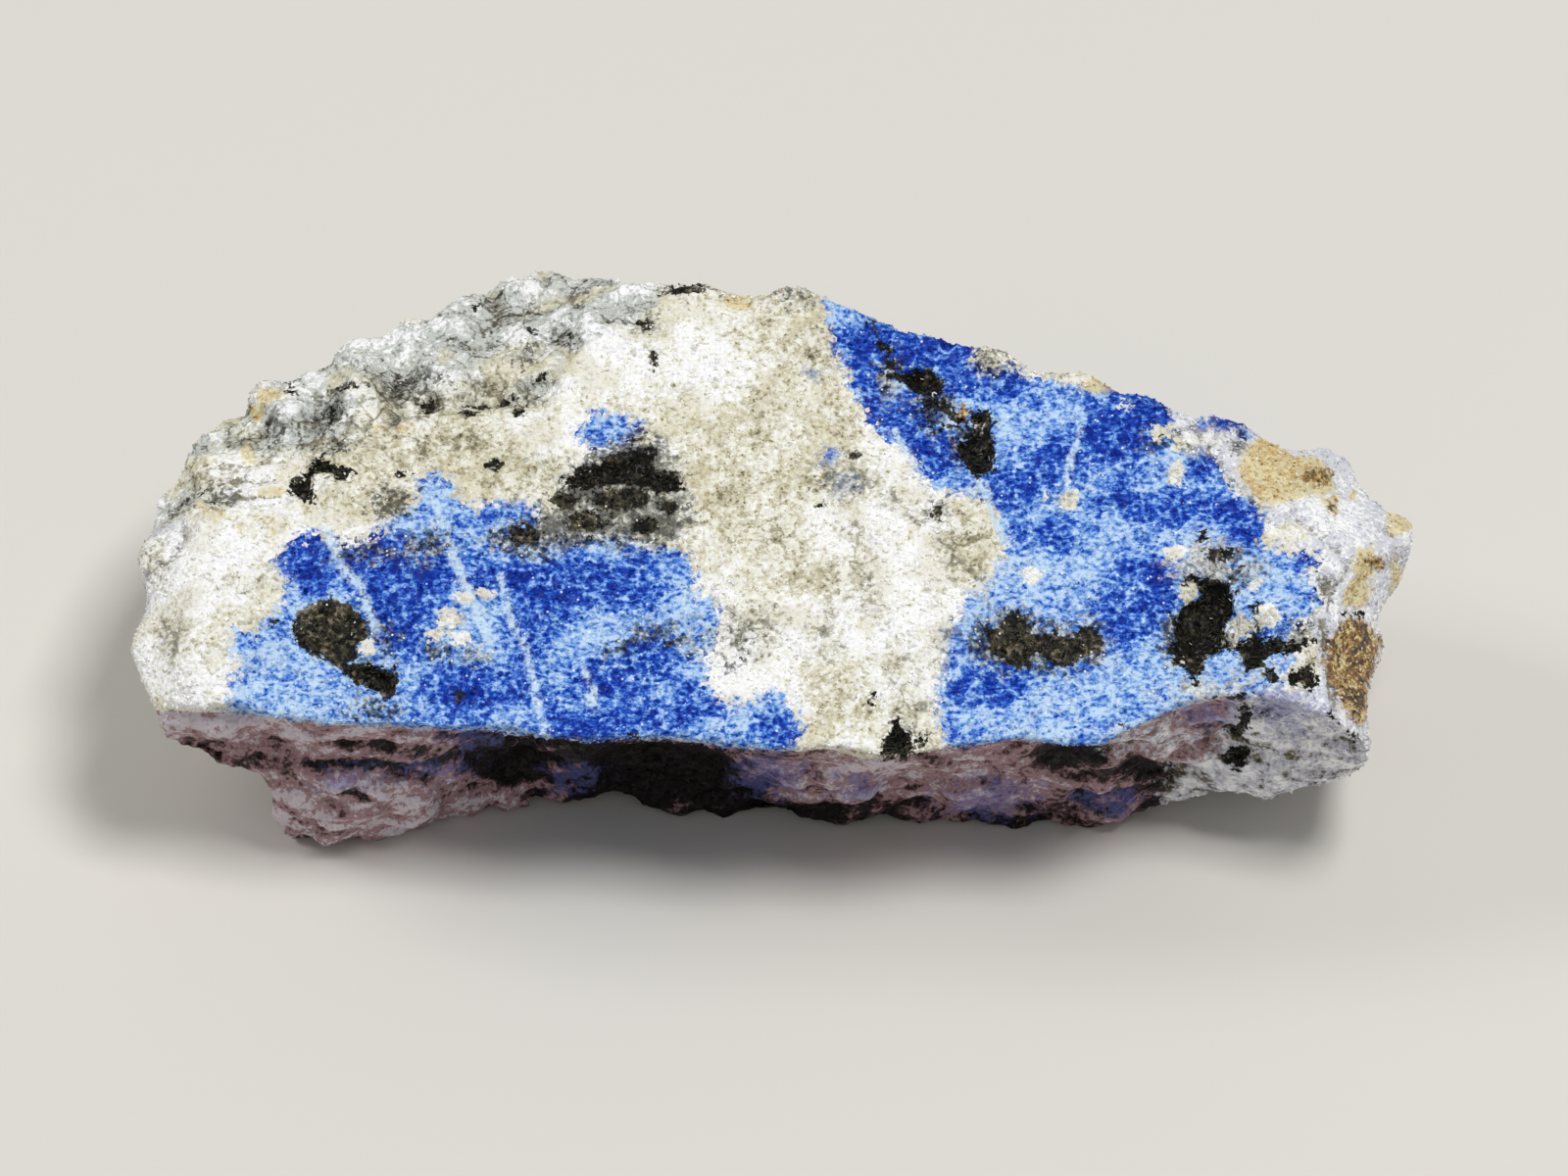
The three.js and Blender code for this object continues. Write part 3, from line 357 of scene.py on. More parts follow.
                  (-34.6, 24.4, 1.6, 0.9), (-4.6, 18.6, 1.4, 1.4), (42.2, 26.2, 1.6, 0.9),
                  (-17.6, 32.0, 1.8, 1.2), (10.2, 29.4, 1.6, 1.0), (46.6, 15.6, 0.8, 1.6),
                  (-22.0, 40.6, 2.2, 1.0), (-14.6, 39.4, 1.8, 1.2), (1.0, 16.6, 4.0, 2.2),
                  (-44.0, 13.4, 3.4, 1.8), (-46.4, 19.0, 2.4, 3.4)],
    },
    "beige": {
        "spots": [(-43.6, 15.6, 2.0, 2.0), (2.0, 22.4, 2.6, 2.2), (-1.0, 27.6, 4.0, 3.0),
                  (3.0, 34.4, 3.4, 4.0), (1.6, 40.4, 2.2, 2.0), (-1.6, 32.2, 3.4, 2.6),
                  (-22.6, 30.4, 4.2, 2.4), (-31.4, 28.0, 3.4, 2.2), (-3.0, 21.8, 2.0, 1.8),
                  (3.6, 12.0, 2.0, 1.8), (-9.0, 33.4, 2.4, 1.2)],
    },
    "weathered": {
        "outlines": [
            [(-52.0, 22.6), (-47.6, 25.2), (-45.2, 26.6), (-44.6, 30.6), (-38.4, 30.8),
             (-36.0, 31.0), (-33.0, 31.8), (-28.0, 33.4), (-23.0, 34.4), (-18.0, 34.6),
             (-16.0, 37.6), (-13.0, 40.4), (-9.4, 42.0), (-8.0, 48.0), (-52.0, 48.0)],
        ],
    },
    "cleaved": {
        "outlines": [
            [(-45.0, 26.4), (-44.2, 25.9), (-41.6, 25.8), (-38.0, 26.2), (-37.6, 27.6),
             (-37.6, 29.6), (-38.4, 30.4), (-44.0, 30.4), (-44.9, 28.4)],
        ],
    },
    "facet": {
        "outlines": [
            [(31.4, 35.4), (31.0, 33.2), (31.8, 31.6), (34.0, 30.4), (35.2, 29.0), (36.4, 27.7),
             (38.2, 26.7),
             (39.0, 23.4), (40.4, 23.2), (43.0, 22.8), (42.9, 21.6), (41.6, 21.0), (42.6, 20.0),
             (43.0, 18.6), (41.4, 17.2), (42.2, 15.4), (42.4, 13.0), (41.0, 11.9), (38.4, 11.8),
             (37.0, 8.0), (37.0, 1.0), (52.0, 1.0), (53.0, 30.0), (46.0, 34.0)],
            [(-51.0, 22.4), (-48.5, 25.2), (-46.0, 25.6), (-46.5, 23.0), (-47.8, 21.5),
             (-49.0, 18.2), (-51.0, 18.4)],
        ],
    },
    # The front face, which faces down into shade: its colours are painted shade with a painted reddish reflection.
    "under": {
        "outlines": [
            [(-52.0, 10.6), (-48.1, 10.5), (-42.0, 10.3), (-38.0, 9.9), (-35.0, 9.4), (-30.0, 9.3),
             (-26.0, 8.9), (-22.5, 8.9), (-18.5, 8.3), (-14.0, 8.0), (-9.0, 8.3), (-5.0, 7.9),
             (1.3, 7.2), (4.0, 7.5), (7.0, 6.8), (10.0, 6.8), (14.0, 7.6), (19.0, 8.3),
             (23.5, 7.3), (25.5, 7.8), (28.0, 9.2), (32.0, 10.9), (34.4, 11.5), (36.6, 11.6),
             (37.4, 10.0), (38.0, 6.0), (38.0, -3.0), (-52.0, -3.0)],
        ],
    },
    # Painted shade: dark spots in the front's hollows and a dark band just under the rim; the relief also sinks
    # these places as pits.
    "recess": {
        "spots": [(-20.8, 6.2, 2.8, 1.4), (-9.0, 5.6, 5.4, 2.2), (-12.0, 3.4, 3.0, 1.0),
                  (23.2, 6.9, 2.2, 0.7), (-15.6, 6.8, 1.6, 0.4), (-4.0, 3.4, 2.6, 0.8),
                  (29.0, 5.8, 1.6, 0.5), (11.6, 6.6, 0.8, 0.3), (-1.0, 2.0, 5.4, 0.9)],
        "strokes": [(0.05, [(-36.5, 6.4), (-32.0, 6.0), (-26.0, 6.2)]),
                    (0.2, [(-33.6, 7.6), (-30.0, 7.4)]), (0.15, [(-34.0, 3.8), (-32.0, 3.6)]),
                    (0.14, [(-26.0, 8.4), (-22.0, 8.4), (-14.0, 7.4), (-6.0, 7.4)])],
    },
    # Painted highlights: lighter places on the front, such as the lit strip under the left rim.
    "sheen": {
        "spots": [(-33.5, 1.8, 5.6, 2.0), (8.0, 5.4, 5.0, 1.2), (16.8, 4.2, 2.8, 1.2),
                  (-43.0, 9.4, 5.0, 0.9), (-36.0, 8.6, 5.4, 0.6), (30.0, 8.0, 4.0, 0.7),
                  (-28.0, 3.0, 4.0, 1.6), (-24.0, 4.2, 2.4, 0.9), (1.0, 2.6, 2.4, 0.6)],
    },
    "tint": {
        "spots": [(-26.4, 5.6, 1.8, 0.6), (-15.8, 5.2, 1.5, 0.9), (-0.6, 5.2, 2.6, 1.6),
                  (17.0, 3.4, 3.2, 1.5), (34.0, 9.8, 1.8, 1.0), (39.8, 10.8, 2.6, 1.5),
                  (-23.8, 8.0, 1.2, 0.4), (-33.0, 5.0, 1.6, 0.6), (6.6, 4.4, 1.6, 0.9),
                  (26.0, 3.2, 2.0, 0.8)],
    },
}
FAR_OUTSIDE = -6.0  # the lowest distance that is kept, in millimetres

# How far the minerals wander where the stone hides them from the view that they are drawn in.
HIDDEN_WANDER = 7.0
HIDDEN_FROM = 1.0
HIDDEN_FULL = 14.0
WANDER_SIZE = 13.0


def linear(text):
    """An sRGB hex colour as linear red, green and blue."""
    parts = [int(text[i:i + 2], 16) / 255 for i in (1, 3, 5)]
    return tuple(c / 12.92 if c <= 0.04045 else ((c + 0.055) / 1.055) ** 2.4 for c in parts)


def colour_property(name, text):
    """A colour that a user may change, with an sRGB hex default."""
    return FloatVectorProperty(name=name, description=f"Colour of the {name.lower()}", size=3,
                               subtype="COLOR", default=linear(text), min=0.0, max=1.0)


def length_property(name, description, millimetres):
    """A length that a user may change, with a default in millimetres."""
    return FloatProperty(name=name, description=description, default=millimetres * MM, min=0.0,
                         subtype="DISTANCE", unit="LENGTH", precision=5)


class StoneSizes(PropertyGroup):
    """Sizes of the stone's broken surface."""
    cell: length_property("Cell", "Width of one cell of the stone's mesh", 0.42)
    chip: length_property("Chip", "Width of the facets that the rock broke into", 3.4)
    chip_relief: length_property("Chip relief", "Height of the broken facets", 0.5)
    grain: length_property("Grain", "Width of the sugary grains that stand out", 1.1)
    grain_relief: length_property("Grain relief", "Height of the sugary grains", 0.26)
    chunk: length_property("Chunk", "Width of the chunks of the weathered slope", 6.0)
    chunk_relief: length_property("Chunk relief", "Height of the chunks", 1.3)
    knob: length_property("Knob", "Width of the weathered knobs", 3.6)
    knob_relief: length_property("Knob relief", "Height of the weathered knobs", 1.5)
    step: length_property("Cleavage step", "Spacing of the steps in the cleaved block", 1.25)
    step_relief: length_property("Step relief", "Height of the cleavage steps", 0.55)
    layer_relief: length_property("Layer relief", "Height of the streaks of the front", 1.5)
    pit: length_property("Pit", "Depth of the dark minerals below the face", 0.7)
    crack: length_property("Crack", "Depth of the creases between the facets", 0.4)


class StoneColours(PropertyGroup):
    """Colours of the stone's minerals."""
    navy: colour_property("Darkest blue grains", "#00268c")
    blue: colour_property("Blue grains", "#1046bc")
    sky_blue: colour_property("Middle blue grains", "#4a80d8")
    light_blue: colour_property("Light blue grains", "#8db6ee")
    pale_blue: colour_property("Pale blue haze", "#c4def9")
    vein: colour_property("Vein", "#d2eafb")
    white: colour_property("White grains", "#ffffff")
    cream: colour_property("Cream", "#f1f0e2")
    beige: colour_property("Beige", "#ddd7c0")
    sand: colour_property("Sand", "#c2bb9e")
    olive: colour_property("Olive speckle", "#7f795f")
    moss: colour_property("Brown olive speckle", "#575141")
    ash: colour_property("Pale grey", "#cdd1cb")
    frost: colour_property("Frosty grey", "#dcdee6")
    lilac: colour_property("Lilac grey", "#c4c2d0")
    grey: colour_property("Grey", "#96958c")
    slate: colour_property("Dark grey", "#65645a")
    charcoal: colour_property("Charcoal speckle", "#3c3e3a")
    black: colour_property("Black mica", "#0f100b")
    brown: colour_property("Brown mineral", "#3c382a")
    tan: colour_property("Tan flecks", "#7f7560")
    buff: colour_property("Buff tint", "#d6cda8")
    straw: colour_property("Straw stain", "#e4d9ae")
    ochre: colour_property("Ochre stain", "#d0b274")
    bronze: colour_property("Bronze stain", "#98742f")
    rust: colour_property("Rusty stain", "#7f5522")
    # These four colours of the front are darker and redder than its stone: painted shade and a painted reddish
    # reflection, darkest in its hollows.
    umber: colour_property("Dark hollows of the front", "#120b0b")
    plum: colour_property("Dark streaks of the front", "#64494a")
    mauve: colour_property("Shaded front", "#a58488")
    pale_front_streaks: colour_property("Pale streaks of the front", "#d2c8d0")
    violet: colour_property("Blue of the front", "#6a70b4")


class GrainSizes(PropertyGroup):
    """Sizes and numbers of the crystal grains that stand out of the stone."""
    sugar: length_property("Sugary grain", "Mean radius of the pale grains", 0.2)
    sugar_count: IntProperty(name="Sugary grains", description="Pale grains to each square "
                             "centimetre", default=210, min=0)
    flake: length_property("Mica flake", "Mean radius of the dark flakes", 0.24)
    flake_count: IntProperty(name="Mica flakes", description="Dark flakes to each square "
                             "centimetre of dark mineral", default=420, min=0)
    crumb: length_property("Ochre crumb", "Mean radius of the ochre crumbs", 0.17)
    crumb_count: IntProperty(name="Ochre crumbs", description="Crumbs to each square "
                             "centimetre of stain", default=420, min=0)
    seed: IntProperty(name="Seed", description="Start of the random order of the grains",
                      default=7, min=0)


class StageSizes(PropertyGroup):
    """The floor, the lights and the camera."""
    floor: length_property("Floor", "Width of the floor", 4000.0)
    floor_colour: colour_property("Floor", "#dedbd4")
    key_power: FloatProperty(name="Key light", description="Power of the main light",
                             default=5.0, min=0.0, unit="POWER")
    key_distance: length_property("Key distance", "Distance of the main light", 900.0)
    key_size: length_property("Key size", "Width of the main light", 260.0)
    fill_power: FloatProperty(name="Fill light", description="Power of the side light",
                              default=2.0, min=0.0, unit="POWER")
    sky: FloatProperty(name="Sky", description="Strength of the even light", default=0.3, min=0.0)
    lens: FloatProperty(name="Lens", description="Focal length", default=400.0, min=1.0,
                        subtype="DISTANCE_CAMERA")


class StoneSettings(PropertyGroup):
    """All that a user may change."""
    sizes: PointerProperty(type=StoneSizes)
    colours: PointerProperty(type=StoneColours)
    grains: PointerProperty(type=GrainSizes)
    stage: PointerProperty(type=StageSizes)


def add(tree, kind, inputs=None, out=0, **settings):
    """Adds a node with its settings, fills or links its inputs, and returns one of its outputs."""
    node = tree.nodes.new(kind)
    for name, value in settings.items():
        setattr(node, name, value)
    for key, value in (inputs or {}).items():
        named = [socket for socket in node.inputs if socket.enabled and socket.name == key]
        socket = named[0] if named else node.inputs[key]
        if isinstance(value, bpy.types.NodeSocket):
            tree.links.new(value, socket)
        elif socket.type == "RGBA":
            socket.default_value = (*value[:3], 1.0)
        else:
            socket.default_value = value
    shown = [socket for socket in node.outputs if socket.enabled]
    if isinstance(out, int):
        return shown[out] if shown else node
    return next(socket for socket in shown if socket.name == out)


# The minerals' outlines, as distances stored on the stone's vertices


def outline_distance(places, outline):
    """How far each place lies inside an outline, in millimetres: negative outside."""
    corners = np.array(outline, float)
    nearest = np.full(len(places), np.inf)
    inside = np.zeros(len(places), bool)
    x, y = places[:, 0], places[:, 1]
    for start, end in zip(corners, np.roll(corners, -1, axis=0)):
        run = end - start
        along = np.clip(((places - start) @ run) / (run @ run), 0, 1)
        gap = places - start - along[:, None] * run
        nearest = np.minimum(nearest, np.einsum("ij,ij->i", gap, gap))
        if start[1] != end[1]:
            crosses = (start[1] > y) != (end[1] > y)
            inside ^= crosses & (x < start[0] + (y - start[1]) * run[0] / run[1])
    return np.sqrt(nearest) * np.where(inside, 1, -1)


def stroke_distance(places, half_width, points):
    """How far each place lies inside a line of that half width."""
    nearest = np.full(len(places), np.inf)
    line = np.array(points, float)
    for start, end in zip(line[:-1], line[1:]):
        run = end - start
        along = np.clip(((places - start) @ run) / (run @ run), 0, 1)
        gap = places - start - along[:, None] * run
        nearest = np.minimum(nearest, np.einsum("ij,ij->i", gap, gap))
    return half_width - np.sqrt(nearest)


def spot_distance(places, across, rise, half_width, half_height):
    """About how far each place lies inside an upright ellipse."""
    size = np.array([half_width, half_height])
    reach = np.sqrt((((places - (across, rise)) / size) ** 2).sum(axis=1))
    return (1 - reach) * size.min()


def mineral_distance(places, mineral):
    """How far each place lies inside the nearest of a mineral's outlines, strokes and spots."""
    result = np.full(len(places), FAR_OUTSIDE)
    for outline in mineral.get("outlines", []):
        result = np.maximum(result, outline_distance(places, outline))
    for half_width, points in mineral.get("strokes", []):
        result = np.maximum(result, stroke_distance(places, half_width, points))
    for spot in mineral.get("spots", []):
        result = np.maximum(result, spot_distance(places, *spot))
    return result


def drawn_places(mesh):
    """Where each vertex lies in the drawing of the minerals. What the stone itself hides from
    that view wanders away from it, so that the minerals run on through the rock unevenly."""
    points = np.empty(len(mesh.vertices) * 3)
    mesh.vertices.foreach_get("co", points)
    points = points.reshape(-1, 3) / MM
    toward = Vector((0, -math.cos(VIEW_ANGLE), math.sin(VIEW_ANGLE)))
    tree = BVHTree.FromPolygons([v.co for v in mesh.vertices],
                                [p.vertices for p in mesh.polygons])
    reach = 2 * (SOLID_BOX[1] - SOLID_BOX[0]).length
    hidden = np.empty(len(points))
    wander = np.empty((len(points), 2))
    for index, vertex in enumerate(mesh.vertices):
        hit = tree.ray_cast(vertex.co + toward * reach, -toward)
        hidden[index] = 0 if hit[0] is None else (reach - hit[3]) / MM
        wander[index] = noise.noise_vector(vertex.co / (WANDER_SIZE * MM))[:2]
    amount = np.clip((hidden - HIDDEN_FROM) / (HIDDEN_FULL - HIDDEN_FROM), 0, 1)
    across = points[:, 0] - ACROSS_SHIFT
    rise = (points[:, 1] - DEPTH_SHIFT) * math.sin(VIEW_ANGLE) + points[:, 2] * math.cos(VIEW_ANGLE)
    return np.column_stack([across, rise]) + HIDDEN_WANDER * amount[:, None] * wander


def store_minerals(mesh):
    """Stores the distance of each mineral, and of each place of painted light and shade, on the mesh, in
    millimetres.
    """
    places = drawn_places(mesh)
    for name, mineral in MINERALS_AND_PAINTED_SHADING.items():
        attribute = mesh.attributes.new(name, "FLOAT", "POINT")
        attribute.data.foreach_set("value", mineral_distance(places, mineral).astype(np.float32))


# Meshes


def new_object(name, mesh):
    piece = bpy.data.objects.new(name, mesh)
    bpy.context.scene.collection.objects.link(piece)
    return piece


def settled_mesh(piece, name):
    """The object's mesh as its modifiers leave it, as a mesh of its own."""
    evaluated = piece.evaluated_get(bpy.context.evaluated_depsgraph_get())
    mesh = bpy.data.meshes.new_from_object(evaluated)
    mesh.name = name
    return mesh


def apply_tree(piece, tree, values):
    """Runs a geometry tree on an object with the given input values and keeps its result."""
    modifier = piece.modifiers.new(tree.name, "NODES")
    modifier.node_group = tree
    for item in tree.interface.items_tree:
        if item.name in values:
            modifier[item.identifier] = values[item.name]
    mesh = settled_mesh(piece, piece.name)
    piece.modifiers.clear()
    piece.data = mesh
    return piece


def geometry_tree(name, inputs):
    """A new geometry tree with named inputs of (kind, name), and its input and output nodes."""
    tree = bpy.data.node_groups.new(name, "GeometryNodeTree")
    tree.interface.new_socket("Geometry", in_out="INPUT", socket_type="NodeSocketGeometry")
    tree.interface.new_socket("Geometry", in_out="OUTPUT", socket_type="NodeSocketGeometry")
    for kind, label in inputs:
        tree.interface.new_socket(label, in_out="INPUT", socket_type=kind)
    given = add(tree, "NodeGroupInput").node
    return tree, given.outputs, add(tree, "NodeGroupOutput")


def keep_inside(mesh):
    """Holds the mesh inside the box of the solid, so that the stone keeps its size."""
    points = np.empty(len(mesh.vertices) * 3)
    mesh.vertices.foreach_get("co", points)
    points = points.reshape(-1, 3)
    points = np.clip(points, SOLID_BOX[0], SOLID_BOX[1])
    mesh.vertices.foreach_set("co", points.ravel())
    mesh.update()


def inside_amount(tree, name, start, full):
    """From 0 to 1 as the distance inside a mineral grows from start to full millimetres."""
    distance = add(tree, "GeometryNodeInputNamedAttribute", {"Name": name}, data_type="FLOAT")
    return add(tree, "ShaderNodeMapRange", {"Value": distance, "From Min": start, "From Max": full},
               interpolation_type="SMOOTHSTEP")


def broken_facets(tree, place, size):
    """Height, as a share of size, of a surface broken into tilted facets of about that size."""
    scale = add(tree, "ShaderNodeMath", {0: 1.0, 1: size}, operation="DIVIDE")
    colour = add(tree, "ShaderNodeTexVoronoi", {"Vector": place, "Scale": scale}, out="Color")
    middle = colour.node.outputs["Position"]
    tilt = add(tree, "ShaderNodeVectorMath", {0: colour, 1: (0.5, 0.5, 0.5)}, operation="SUBTRACT")
    offset = add(tree, "ShaderNodeVectorMath", {0: place, 1: middle}, operation="SUBTRACT")
    lean = add(tree, "ShaderNodeVectorMath", {0: tilt, 1: offset}, out="Value",
               operation="DOT_PRODUCT")
    return add(tree, "ShaderNodeMath", {0: lean, 1: scale}, operation="MULTIPLY")


RELIEF_INPUTS = ("Chip", "Chip relief", "Grain", "Grain relief", "Chunk", "Chunk relief", "Knob",
                 "Knob relief", "Step", "Step relief", "Layer relief", "Pit", "Crack")


def relief_tree():
    """Breaks a smooth stone into chips, grains, knobs, cleavage steps, streaks and pits, and
    stores how far each point was lifted as the attribute lift, in millimetres."""
    sockets = [("NodeSocketFloat", name) for name in RELIEF_INPUTS]
    tree, given, result = geometry_tree("Broken relief",
                                        [*sockets, ("NodeSocketMaterial", "Material")])
    place = add(tree, "GeometryNodeInputPosition")
    bend = add(tree, "ShaderNodeTexNoise", {"Vector": place, "Scale": 380.0, "Detail": 2.0},
               out="Color")
    bent = add(tree, "ShaderNodeVectorMath", {0: bend, 1: (0.0022,) * 3, 2: place},
               operation="MULTIPLY_ADD")
    chips = broken_facets(tree, bent, given["Chip"])
    grains = broken_facets(tree, bent, given["Grain"])
    chunks = broken_facets(tree, bent, given["Chunk"])
    knob_scale = add(tree, "ShaderNodeMath", {0: 1.0, 1: given["Knob"]}, operation="DIVIDE")
    knobs = add(tree, "ShaderNodeTexVoronoi", {"Vector": bent, "Scale": knob_scale},
                out="Distance")
    knobs = add(tree, "ShaderNodeMath", {0: 0.42, 1: knobs}, operation="SUBTRACT")
    streaks = add(tree, "ShaderNodeVectorMath", {0: place, 1: (190.0, 420.0, 620.0)},
                  operation="MULTIPLY")
    layers = add(tree, "ShaderNodeTexNoise", {"Vector": streaks, "Scale": 1.0, "Detail": 3.0,
                                              "Roughness": 0.6}, out="Fac")
    layers = add(tree, "ShaderNodeMath", {0: layers, 1: 0.5}, operation="SUBTRACT")
    rise = add(tree, "ShaderNodeVectorMath",
               {0: bent, 1: (0.06, math.sin(VIEW_ANGLE), math.cos(VIEW_ANGLE))}, out="Value",
               operation="DOT_PRODUCT")
    steps = add(tree, "ShaderNodeMath", {0: rise, 1: given["Step"]}, operation="DIVIDE")
    steps = add(tree, "ShaderNodeMath", {0: steps}, operation="FRACT")
    steps = add(tree, "ShaderNodeMath", {0: steps, 1: 0.5}, operation="SUBTRACT")
    parts = [
        (chips, given["Chip relief"], 1.0),
        (grains, given["Grain relief"], 1.0),
        (chunks, given["Chunk relief"], inside_amount(tree, "weathered", -1.0, 1.0)),
        (knobs, given["Knob relief"], inside_amount(tree, "weathered", -1.0, 1.0)),
        (knobs, given["Knob relief"], inside_amount(tree, "under", 0.3, 2.5)),
        (steps, given["Step relief"], inside_amount(tree, "cleaved", 0.0, 0.8)),
        (layers, given["Layer relief"], inside_amount(tree, "under", 0.1, 1.2)),
        (-1.0, given["Pit"], inside_amount(tree, "dark", 0.0, 0.7)),
        (-1.0, given["Pit"], inside_amount(tree, "recess", -0.4, 0.6)),
        (-1.0, given["Crack"], inside_amount(tree, "crease", -0.5, 0.1)),
    ]
    height = 0.0
    for shape, size, amount in parts:
        lift = add(tree, "ShaderNodeMath", {0: shape, 1: size}, operation="MULTIPLY")
        height = add(tree, "ShaderNodeMath", {0: lift, 1: amount, 2: height},
                     operation="MULTIPLY_ADD")
    lift = add(tree, "ShaderNodeMath", {0: height, 1: 1 / MM}, operation="MULTIPLY")
    marked = add(tree, "GeometryNodeStoreNamedAttribute",
                 {"Geometry": given["Geometry"], "Name": "lift", "Value": lift},
                 data_type="FLOAT", domain="POINT")
    normal = add(tree, "GeometryNodeInputNormal")
    offset = add(tree, "ShaderNodeVectorMath", {0: normal, "Scale": height}, operation="SCALE")
    moved = add(tree, "GeometryNodeSetPosition", {"Geometry": marked, "Offset": offset})
    plain = add(tree, "GeometryNodeRealizeInstances", {"Geometry": moved})
    dressed = add(tree, "GeometryNodeSetMaterial", {"Geometry": plain,
                                                    "Material": given["Material"]})
    tree.links.new(dressed, result.inputs["Geometry"])
    return tree


def grain_tree(name, shape, flatness, minerals):
    """Scatters small crystals over a stone, half sunk into it, where one of the minerals shows."""
    tree, given, result = geometry_tree(name, [("NodeSocketFloat", "Radius"),
                                               ("NodeSocketFloat", "Count"),
                                               ("NodeSocketInt", "Seed"),
                                               ("NodeSocketMaterial", "Material")])
    amount = None
    for mineral, start, full, share in minerals:
        shown = inside_amount(tree, mineral, start, full)
        shown = add(tree, "ShaderNodeMath", {0: shown, 1: share}, operation="MULTIPLY")
        amount = shown if amount is None else add(tree, "ShaderNodeMath", {0: amount, 1: shown},
                                                  operation="ADD")
    amount = add(tree, "ShaderNodeClamp", {"Value": amount})
    density = add(tree, "ShaderNodeMath", {0: amount, 1: given["Count"]}, operation="MULTIPLY")
    points = add(tree, "GeometryNodeDistributePointsOnFaces",
                 {"Mesh": given["Geometry"], "Density": density, "Seed": given["Seed"]},
                 out="Points", distribute_method="RANDOM")
    shade = add(tree, "FunctionNodeRandomValue", {"Min": -0.5, "Max": 0.5, "Seed": given["Seed"]},
                data_type="FLOAT")
    points = add(tree, "GeometryNodeStoreNamedAttribute",
                 {"Geometry": points, "Name": "shade", "Value": shade}, data_type="FLOAT",
                 domain="POINT")
    if shape == "flake":
        crystal = add(tree, "GeometryNodeMeshCylinder", {"Vertices": 6, "Radius": 1.0,
                                                         "Depth": flatness}, out="Mesh")
    else:
        crystal = add(tree, "GeometryNodeMeshUVSphere", {"Radius": 1.0, "Segments": 4, "Rings": 2},
                      out="Mesh")
    crystal = add(tree, "GeometryNodeSetShadeSmooth", {"Geometry": crystal, "Shade Smooth": False})
    turn = add(tree, "FunctionNodeRandomValue", {"Max": (math.tau,) * 3, "Seed": 3},
               data_type="FLOAT_VECTOR")
    stretch = add(tree, "FunctionNodeRandomValue",
                  {"Min": (0.5, 0.5, 0.45), "Max": (1.5, 1.2, 1.0), "Seed": 5},
                  data_type="FLOAT_VECTOR")
    size = add(tree, "ShaderNodeVectorMath", {0: stretch, "Scale": given["Radius"]},
               operation="SCALE")
    copies = add(tree, "GeometryNodeInstanceOnPoints",
                 {"Points": points, "Instance": crystal, "Rotation": turn, "Scale": size})
    plain = add(tree, "GeometryNodeRealizeInstances", {"Geometry": copies})
    dressed = add(tree, "GeometryNodeSetMaterial", {"Geometry": plain,
                                                    "Material": given["Material"]})
    tree.links.new(dressed, result.inputs["Geometry"])
    return tree


# Materials


def new_material(name):
    """An empty material, its tree and its surface output."""
    material = bpy.data.materials.new(name)
    material.use_nodes = True
    material.node_tree.nodes.clear()
    return material, material.node_tree, add(material.node_tree, "ShaderNodeOutputMaterial")


def painted(tree, colour, layers):
    """Lays colours over a first one: each shows, at most to its strength, as its field goes from
    its start to its full value."""
    for field, start, full, strength, over in layers:
        amount = add(tree, "ShaderNodeMapRange",
                     {"Value": field, "From Min": start, "From Max": full, "To Max": strength},
                     interpolation_type="SMOOTHSTEP")
        colour = add(tree, "ShaderNodeMix", {"Factor": amount, "A": colour, "B": over},
                     data_type="RGBA")
    return colour


def summed(tree, start, parts):
    """A start value plus each field times its factor."""
    for field, factor in parts:
        start = add(tree, "ShaderNodeMath", {0: field, 1: factor, 2: start},
                    operation="MULTIPLY_ADD")
    return start


def graded(tree, tone, colours):
    """A colour for each tone: the first colour below TONES' first value, the last above its last."""
    layers = [(tone, start, full, 1.0, colour)
              for start, full, colour in zip(TONES, TONES[1:], colours[1:])]
    return painted(tree, colours[0], layers)


TONES = (0.27, 0.39, 0.49, 0.59, 0.72)


def zone_amount(tree, name, start, full, wander=None):
    """From 0 to 1 as a mineral's distance, carried by wandering parts, goes from start to full."""
    distance = add(tree, "ShaderNodeAttribute", attribute_name=name, out="Fac")
    ragged = summed(tree, distance, wander or [])
    return add(tree, "ShaderNodeMapRange", {"Value": ragged, "From Min": start, "From Max": full},
               interpolation_type="SMOOTHSTEP")


